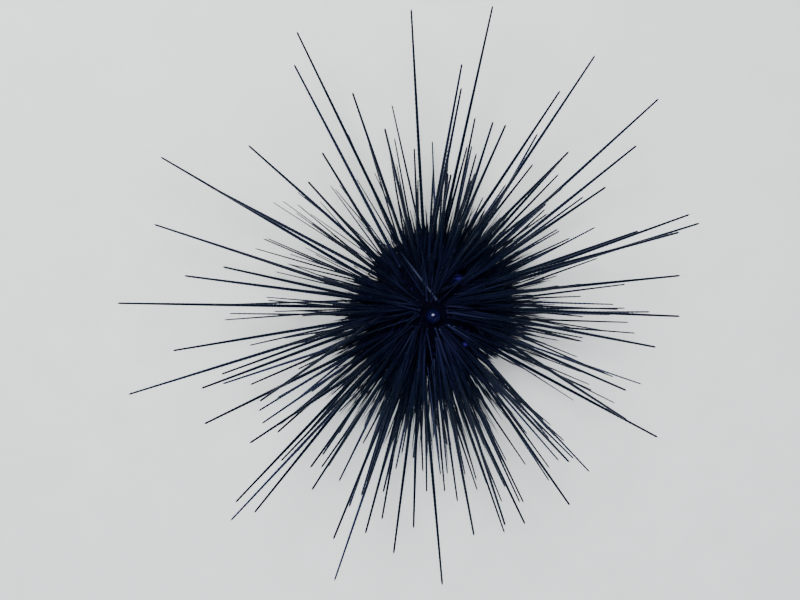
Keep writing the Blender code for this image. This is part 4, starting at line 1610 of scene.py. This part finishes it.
@dataclass
class Skin:
    """One skin over the whole test, with plates, mounds, pores, folds and its coloured bands.

    Mounds, pores and plates are a radius and a height. Folds are a count or a pitch, and a depth. A spot
    is its latitude, its column, its radius and its strength, and a glint the bearing and the reach at
    which it is seen, its radius and its strength.
    """

    segments: int = 420
    rings: int = 220
    squeeze: float = 0.35
    inset: float = 0.00015
    inter_plates: int = 12
    ambulacral_plates: int = 24
    groove_depth: float = 0.00010
    groove_width: float = 0.00032
    zigzag: float = 0.06
    primary_mound: Pair = (0.0024, 0.00032)
    small_mound: Pair = (0.0012, 0.00018)
    pore: Pair = (0.00045, -0.00016)
    pore_columns: Pair = (0.74, 0.88)
    genital_ring: float = 0.0056
    genital_plate: Pair = (0.0021, 0.00034)
    gonopore_ring: float = 0.0064
    gonopore: Pair = (0.00050, -0.00034)
    ocular_ring: float = 0.0074
    ocular_plate: Pair = (0.0013, 0.00020)
    plate_edge: float = 0.3
    periproct_radius: float = 0.0044
    periproct_folds: tuple[int, float] = (22, 0.00007)
    peristome_edge: Pair = (0.0114, 0.0121)
    peristome_sink: float = 0.00030
    peristome_folds: Pair = (0.0014, 0.00012)
    peristome_pleats: tuple[int, float] = (30, 0.00006)
    peristome_wander: tuple[Pair, ...] = ((1.5, 5.0), (1.0, 13.0))
    pore_latitudes: Pair = (62.0, -56.0)
    naked_band: float = 0.62
    naked_latitudes: Pair = (10.0, 60.0)
    naked_edge: float = 0.15
    spots: tuple[tuple[float, float, float, float], ...] = (
        (56.0, 0.22, 0.0008, 0.11), (45.0, 0.26, 0.0009, 0.15), (33.0, 0.24, 0.0010, 0.15))
    glints: tuple[tuple[float, float, float, float], ...] = (
        (59.1, 0.0234, 0.0034, 0.7), (64.0, 0.0205, 0.0020, 0.4), (319.0, 0.0207, 0.0034, 1.0),
        (328.6, 0.0189, 0.0016, 0.5), (201.0, 0.0183, 0.0018, 0.3))

    def build(self, layout: Layout, dresser: Dresser) -> None:
        """Shape the skin and let it stand for every node of the test."""
        bm = bmesh.new()
        bmesh.ops.create_uvsphere(bm, u_segments=self.segments, v_segments=self.rings, radius=1.0)
        mesh = new_mesh("skin", bm)
        count = len(mesh.vertices)
        unit = read(mesh.vertices, "co", np.float32, 3).astype(float)
        turn = np.arccos(np.clip(unit[:, 2], -1.0, 1.0)) / math.pi
        turn = turn - self.squeeze * np.sin(FULL_TURN * turn) / FULL_TURN
        self.latitude = math.pi / 2.0 - math.pi * turn
        self.bearing = np.arctan2(unit[:, 1], unit[:, 0])
        rise = np.where(self.latitude > 0.0, TEST.rise, TEST.drop)
        flat = TEST.radius * np.cos(self.latitude)
        self.points = np.stack((flat * np.cos(self.bearing), flat * np.sin(self.bearing),
                                rise * np.sin(self.latitude)), axis=1)
        slope = self.points / np.stack((np.full(count, TEST.radius ** 2),) * 2 + (rise ** 2,), axis=1)
        normals = slope / np.linalg.norm(slope, axis=1)[:, None]
        self.reach = flat
        self.tree = KDTree(count)
        for number, point in enumerate(self.points):
            self.tree.insert(point, number)
        self.tree.balance()
        membrane = self.membranes()
        height = self.plates() * (1.0 - membrane) + self.folds() - self.inset
        height = height + self.marked(self.marks(layout))
        shown = self.points + height[:, None] * normals
        mesh.vertices.foreach_set("co", shown.astype(np.float32).ravel())
        add_attribute(mesh, "membrane", membrane)
        add_attribute(mesh, "naked", self.naked())
        blue = self.marked(self.iridophores(layout.view))
        add_attribute(mesh, "iridophore", np.clip(blue, 0.0, 1.0))
        self.unwrap(mesh)
        mesh.update()
        nodes = [area.name for area in AREAS] + ["apical_disc", "peristome"]
        dresser.dress(mesh, TEST_SKIN, Slot.TEST, *nodes)

    def aside(self, area: Area) -> np.ndarray:
        """How far each point is turned from an area's middle."""
        return np.remainder(self.bearing - area.bearing + math.pi, FULL_TURN) - math.pi

    def marked(self, marks: list[Mark]) -> np.ndarray:
        """The sum of marks over the skin, each fading out to its radius."""
        total = np.zeros(len(self.points))
        for mark in marks:
            for place, number, away in self.tree.find_range(mark.place, mark.radius):
                share = min(1.0, (1.0 - away / mark.radius) / mark.edge)
                total[number] += mark.height * share * share * (3.0 - 2.0 * share)
        return total

    def on_crown(self, bearing: float, ring: float) -> Vector:
        """The point of the crown at a bearing, this far from the axis."""
        return TEST.point(bearing, math.acos(ring / TEST.radius))

    def marks(self, layout: Layout) -> list[Mark]:
        """The mounds under the spines, the pores, and the plates of the apical disc."""
        marks = []
        for shaft in layout.primaries + layout.feet:
            marks.append(Mark(shaft.root, *self.primary_mound))
        for shaft in layout.secondaries + layout.orals:
            marks.append(Mark(shaft.root, *self.small_mound))
        for area in AREAS:
            if area.kind is AreaKind.INTERAMBULACRUM:
                plate = self.on_crown(area.bearing, self.genital_ring)
                marks.append(Mark(plate, *self.genital_plate, self.plate_edge))
                marks.append(Mark(self.on_crown(area.bearing, self.gonopore_ring), *self.gonopore))
                continue
            plate = self.on_crown(area.bearing, self.ocular_ring)
            marks.append(Mark(plate, *self.ocular_plate, self.plate_edge))
            for latitude in np.linspace(*self.pore_latitudes, self.ambulacral_plates * 2):
                for column in self.pore_columns:
                    for bearing in area.both(column):
                        marks.append(Mark(TEST.point(bearing, math.radians(latitude)), *self.pore))
        return marks

    def iridophores(self, view: Viewpoint) -> list[Mark]:
        """The blue spots: faint ones down each interambulacrum, and the ones that show best."""
        marks = []
        for area in areas_of(AreaKind.INTERAMBULACRUM):
            for latitude, column, radius, strength in self.spots:
                for bearing in area.both(column):
                    marks.append(Mark(TEST.point(bearing, math.radians(latitude)), radius, strength))
        for degrees, reach, radius, strength in self.glints:
            marks.append(Mark(view.skin_at(degrees, reach), radius, strength))
        return marks

    def plates(self) -> np.ndarray:
        """The grooves between the plates of each area, as negative heights."""
        groove = np.zeros(len(self.points))
        pitch = (TEST.rise + TEST.drop + TEST.radius) * math.pi / 2.0
        for area in AREAS:
            aside = self.aside(area)
            inside = np.abs(aside) <= area.half_width
            inter = area.kind is AreaKind.INTERAMBULACRUM
            rows = self.inter_plates if inter else self.ambulacral_plates
            row = (self.latitude / math.pi + 0.5) * rows + np.where(aside > 0.0, 0.5, 0.0)
            level = np.abs(row - np.round(row)) * pitch / rows
            wave = np.abs(np.remainder(2.0 * row, 2.0) - 1.0) - 0.5
            middle = np.abs(aside - wave * self.zigzag * area.half_width) * self.reach
            edge = (area.half_width - np.abs(aside)) * self.reach
            nearest = np.minimum(np.minimum(level, middle), edge)
            groove = np.where(inside, np.exp(-(nearest / self.groove_width) ** 2), groove)
        return -self.groove_depth * groove

    def membranes(self) -> np.ndarray:
        """How far each point belongs to the soft membrane round the cone or the mouth."""
        above = self.latitude > 0.0
        low, high = self.peristome_edge
        mouth = np.clip((high - self.reach) / (high - low), 0.0, 1.0)
        crown = np.clip((self.periproct_radius - self.reach) / (high - low), 0.0, 1.0)
        return np.where(above, crown, mouth)

    def folds(self) -> np.ndarray:
        """The wrinkles of both membranes, and the mouth's sunk below the test."""
        membrane = self.membranes()
        count, depth = self.periproct_folds
        crown = depth * np.cos(count * self.bearing)
        pitch, ring_depth = self.peristome_folds
        pleats, pleat_depth = self.peristome_pleats
        wander = sum(size * np.sin(waves * self.bearing) for size, waves in self.peristome_wander)
        mouth = ring_depth * np.cos(FULL_TURN * self.reach / pitch + wander)
        mouth = mouth + pleat_depth * np.cos(pleats * self.bearing) - self.peristome_sink
        return membrane * np.where(self.latitude > 0.0, crown, mouth)

    def naked(self) -> np.ndarray:
        """The bare bands down the middle of the interambulacra, widest at the crown."""
        shown = np.zeros(len(self.points))
        share = np.interp(np.degrees(self.latitude), self.naked_latitudes, (0.0, self.naked_band))
        for area in areas_of(AreaKind.INTERAMBULACRUM):
            away = np.abs(self.aside(area)) / area.half_width
            shown = np.maximum(shown, np.clip((share - away) / self.naked_edge, 0.0, 1.0))
        return shown

    def unwrap(self, mesh: bpy.types.Mesh) -> None:
        """Give the skin its map: each face goes with the half that its middle is in."""
        corners = read(mesh.loops, "vertex_index", np.int32)
        totals = read(mesh.polygons, "loop_total", np.int32)
        middles = read(mesh.polygons, "center", np.float32, 3)
        upper = np.repeat(middles[:, 2] >= 0.0, totals)
        add_map(mesh, SKIN_MAP.places(self.points[corners], upper))


@dataclass
class AnalCone:
    """The bladder on the crown, pleated towards its open pore."""

    radius: float = 0.0037
    raised: float = 0.0029
    sides: int = 72
    rings: int = 22
    from_angle: float = math.radians(-50.0)
    to_angle: float = math.radians(64.0)
    lip: tuple[Pair, ...] = (
        (0.00150, 0.00355), (0.00132, 0.00378), (0.00126, 0.00402), (0.00122, 0.00422),
        (0.00108, 0.00436), (0.00088, 0.00434), (0.00072, 0.00418), (0.00058, 0.00380),
        (0.00040, 0.00330), (0.0, 0.00300))
    pleats: int = 11
    pleat_depth: float = 0.055
    pleat_wander: float = 1.3
    lump: float = 0.035
    lump_waves: tuple[Pair, ...] = ((3.0, 2.0), (2.0, -5.0))
    spot_aside: Pair = (-0.0006, 0.0012)

    def build(self, view: Viewpoint, dresser: Dresser) -> None:
        """Turn the bladder, pleat it and give it its pale spot."""
        centre = TEST.rise + self.raised
        profile = [(0.0, TEST.rise - self.raised / 2.0)]
        for angle in np.linspace(self.from_angle, self.to_angle, self.rings):
            profile.append((self.radius * math.cos(angle), centre + self.radius * math.sin(angle)))
        profile += [(reach, centre + height) for reach, height in self.lip]
        bm = turned(profile, self.sides)
        for vertex in bm.verts:
            bearing = math.atan2(vertex.co.y, vertex.co.x)
            level = (vertex.co.z - centre) / self.radius
            pleat = math.cos(self.pleats * bearing + self.pleat_wander * math.sin(2.0 * bearing))
            lump = sum(math.sin(across * bearing + up * level) for across, up in self.lump_waves)
            swell = 1.0 + self.pleat_depth * pleat * min(1.0, abs(level)) ** 2 + self.lump * lump / 2.0
            widen(vertex, swell)
        spot = dresser.middle + view.crown + view.right * self.spot_aside[0] + view.up * self.spot_aside[1]
        finish = replace(CONE_MEMBRANE, spot_place=tuple(spot))
        dresser.dress(new_mesh("anal_cone_bladder", bm), finish, Slot.CONE, "anal_cone")


@dataclass
class Mouth:
    """The lips, the five teeth that meet in the middle, and the stout feet round them."""

    lip_radius: float = 0.0034
    lip_thickness: float = 0.00085
    lip_sides: int = 120
    lip_section: int = 12
    lip_lobes: int = 24
    lip_lobe: float = 0.064
    lip_purse: float = 0.12
    tooth_sides: int = 12
    tooth_length: float = 0.0050
    tooth_root: float = 0.0021
    tooth_closing: float = 0.30
    tooth_width: float = 0.00095
    tooth_depth: float = 0.00055
    tooth_keel: float = 0.0009
    tooth_pinch: float = 0.45
    tooth_bulge: float = 0.00040
    tooth_tapers: Numbers = (1.0, 0.99, 0.95, 0.88, 0.78, 0.64, 0.46, 0.26, 0.10)
    buccal_ring: float = 0.0066
    buccal_sink: float = 0.0004
    buccal_lean: float = 0.35
    buccal_spread: float = math.radians(9.0)
    buccal_length: float = 0.0032
    buccal_radius: float = 0.00050

    @property
    def floor(self) -> float:
        """The height of the peristome, about the test's middle."""
        return -TEST.drop

    def lips(self) -> bpy.types.Mesh:
        """A folded ring of skin round the teeth."""
        bm = bmesh.new()
        stand = Matrix.Rotation(math.pi / 2.0, 4, "X")
        place = Matrix.Translation((self.lip_radius, 0.0, self.floor)) @ stand
        section = bmesh.ops.create_circle(bm, segments=self.lip_section, radius=self.lip_thickness,
                                          matrix=place)
        bmesh.ops.spin(bm, geom=section["verts"] + bm.edges[:], cent=(0.0, 0.0, 0.0), axis=(0.0, 0.0, 1.0),
                       angle=FULL_TURN, steps=self.lip_sides, use_merge=True)
        for vertex in bm.verts:
            bearing = math.atan2(vertex.co.y, vertex.co.x)
            depth = max(0.0, (self.floor - vertex.co.z) / self.lip_thickness)
            lobe = self.lip_lobe * math.cos(self.lip_lobes * bearing)
            widen(vertex, 1.0 + (lobe - self.lip_purse) * depth)
        return new_mesh("mouth_lips", bm)

    def tooth(self, number: int) -> bmesh.types.BMesh:
        """One keeled tooth, extruded along its curve and laid in its place."""
        bm = bmesh.new()
        made = bmesh.ops.create_circle(bm, cap_ends=True, segments=self.tooth_sides, radius=1.0)
        for vertex in made["verts"]:
            keel = max(0.0, -vertex.co.y) ** 3
            vertex.co.x *= self.tooth_width * (1.0 - self.tooth_pinch * keel)
            vertex.co.y *= self.tooth_depth + self.tooth_keel * keel
        top = bm.faces[:][0]
        steps = len(self.tooth_tapers) - 1
        bulges = [self.tooth_bulge * math.sin(math.pi * step / steps) for step in range(steps + 1)]
        for step in range(1, steps + 1):
            grown = bmesh.ops.extrude_face_region(bm, geom=[top])["geom"]
            top = [item for item in grown if isinstance(item, bmesh.types.BMFace)][0]
            ratio = self.tooth_tapers[step] / self.tooth_tapers[step - 1]
            shift = (0.0, bulges[step] - bulges[step - 1], self.tooth_length / steps)
            middle = top.calc_center_median()
            bmesh.ops.scale(bm, verts=top.verts, vec=(ratio, ratio, 1.0), space=Matrix.Translation(-middle))
            bmesh.ops.translate(bm, verts=top.verts, vec=shift)
        out = heading(TEST.first_bearing + number * TEST.ray_step)
        root = out * self.tooth_root + upright(self.floor)
        tip = out * self.tooth_root * self.tooth_closing + upright(self.floor - self.tooth_length)
        axis = (tip - root).normalized()
        across = axis.cross(out).normalized()
        turn = Matrix((across, across.cross(axis) * -1.0, axis)).transposed().to_4x4()
        bm.transform(Matrix.Translation(root) @ turn)
        return bm

    def teeth(self) -> bpy.types.Mesh:
        """The five teeth as one mesh."""
        joined = bmesh.new()
        for number in range(TEST.rays):
            bm = self.tooth(number)
            part = bpy.data.meshes.new("tooth")
            bm.to_mesh(part)
            bm.free()
            joined.from_mesh(part)
            bpy.data.meshes.remove(part)
        return new_mesh("five_teeth", joined)

    def buccal_feet(self) -> list[Shaft]:
        """Five pairs of stout tube feet on the peristome."""
        found = []
        for area in areas_of(AreaKind.AMBULACRUM):
            for side in (-1.0, 1.0):
                out = heading(area.bearing + side * self.buccal_spread)
                root = out * self.buccal_ring + upright(self.floor + self.buccal_sink)
                tip = root + (out * self.buccal_lean + upright(-1.0)).normalized() * self.buccal_length
                found.append(Shaft(area, root, tip, self.buccal_radius, self.buccal_radius))
        return found

    def build(self, dresser: Dresser) -> None:
        """Make the whole mouth."""
        dresser.dress(self.lips(), LIP, Slot.PERISTOME)
        dresser.dress(self.teeth(), TOOTH, Slot.TEETH, "teeth")
        SmallShafts("buccal_tube_feet", TUBE_FOOT, Slot.PERISTOME, SUCKER, sides=10, collar=0.0006,
                    seed=51).build(self.buccal_feet(), dresser)


@dataclass(frozen=True)
class Lamp:
    """A square soft light that faces the animal."""

    name: str
    colour: str
    bearing: float
    elevation: float
    distance: float
    size: float
    power: float

    def hang(self, middle: Vector) -> None:
        """Hang the lamp round the animal."""
        light = bpy.data.lights.new(self.name, "AREA")
        light.size = self.size
        light.energy = self.power
        light.color = linear(self.colour)[:3]
        lamp = new_object(self.name, light)
        toward = heading(math.radians(self.bearing), math.radians(self.elevation))
        turn = toward.to_track_quat("Z", "Y").to_matrix().to_4x4()
        lamp.matrix_world = Matrix.Translation(middle + toward * self.distance) @ turn


@dataclass
class Studio:
    """A pale floor, soft lamps and a pale surround."""

    floor_radius: float = 1.8
    floor_sides: int = 128
    surround: str = "#dfe3e6"
    surround_strength: float = 0.48
    lamps: tuple[Lamp, ...] = (
        Lamp("key_softbox", "#fbfcff", bearing=118.0, elevation=62.0, distance=0.9, size=0.32, power=17.0),
        Lamp("fill_softbox", "#f2f6ff", bearing=-40.0, elevation=40.0, distance=1.1, size=0.6, power=8.0),
        Lamp("back_softbox", "#eef4ff", bearing=235.0, elevation=30.0, distance=1.1, size=0.5, power=6.0),
    )

    def set_up(self, dresser: Dresser) -> None:
        """Lay the floor, hang the lamps and light the surround."""
        bm = bmesh.new()
        bmesh.ops.create_circle(bm, cap_ends=True, segments=self.floor_sides, radius=self.floor_radius)
        bmesh.ops.translate(bm, verts=bm.verts, vec=upright(-TEST.height))
        dresser.place(new_mesh("studio_floor", bm), FLOOR)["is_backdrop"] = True
        for lamp in self.lamps:
            lamp.hang(dresser.middle)
        world = bpy.data.worlds.new("pale_surround")
        world.use_nodes = True
        background = world.node_tree.nodes["Background"]
        background.inputs["Color"].default_value = linear(self.surround)
        background.inputs["Strength"].default_value = self.surround_strength
        bpy.context.scene.world = world


def small_kinds(layout: Layout, soft: SoftParts) -> Iterator[tuple[SmallShafts, list[Shaft]]]:
    """Every kind of small form with the shafts that it is laid along."""
    primaries = layout.primaries + layout.feet
    knobs = [Shaft(one.area, one.root, one.root + TEST.normal(one.root) * KNOB[-1][1],
                   one.root_radius, one.root_radius) for one in primaries]
    yield SmallShafts("spine_tubercles", TUBERCLE, Slot.TEST, KNOB, sides=14, collar=0.0,
                      seed=60), knobs
    for kind in AreaKind:
        own = [one for one in layout.secondaries if one.area.kind is kind]
        yield SmallShafts(f"secondary_spines_{kind.value}", FINE_SPINE, Slot.TEST, NEEDLE, sides=6,
                          collar=0.0010, seed=61, needle_share=0.7, bow=0.012), own
    yield SmallShafts("oral_spines", ORAL_SPINE, Slot.TEST, CLUB, sides=7, collar=0.0010,
                      seed=62), layout.orals
    yield SmallShafts("miliary_spines", FINE_SPINE, Slot.TEST, HAIR, sides=5, collar=0.0005,
                      seed=63), layout.miliaries
    yield SmallShafts("tube_feet", TUBE_FOOT, Slot.TEST, SUCKER, sides=8, collar=0.0006,
                      seed=64, bow=0.14), soft.tube_feet()
    yield SmallShafts("pincers", PINCER, Slot.APICAL, BUD, sides=7, collar=0.0,
                      seed=65, bow=0.08), soft.stalked_pincers()
    yield SmallShafts("gill_tufts", GILL, Slot.PERISTOME, FINGER, sides=6, collar=0.0003,
                      seed=66, bow=0.10), soft.gills()


def main() -> None:
    """Dress the frame: the skin, its spines and soft parts, the cone and the mouth."""
    logging.basicConfig(level=logging.INFO, format="%(name)s: %(message)s")
    layout = Layout()
    for name in ("feet", "primaries", "secondaries", "orals", "miliaries"):
        LOG.info("%s: %d", name, len(getattr(layout, name)))
    lowest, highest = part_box("anal_cone")
    middle = (lowest + highest) / 2.0
    middle.z = TEST.height
    dresser = Dresser(middle)
    Skin().build(layout, dresser)
    PrimarySpines().build(layout.primaries, dresser)
    StandingSpines().build(layout.feet, dresser)
    for kind, shafts in small_kinds(layout, SoftParts(layout.coat)):
        kind.build(shafts, dresser)
    AnalCone().build(layout.view, dresser)
    Mouth().build(dresser)
    Studio().set_up(dresser)
    layout.view.set_camera(middle)
    sizes = [[list(corner) for corner in box] for box in (CAD_BOX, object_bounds())]


if __name__ == "__main__":
    main()
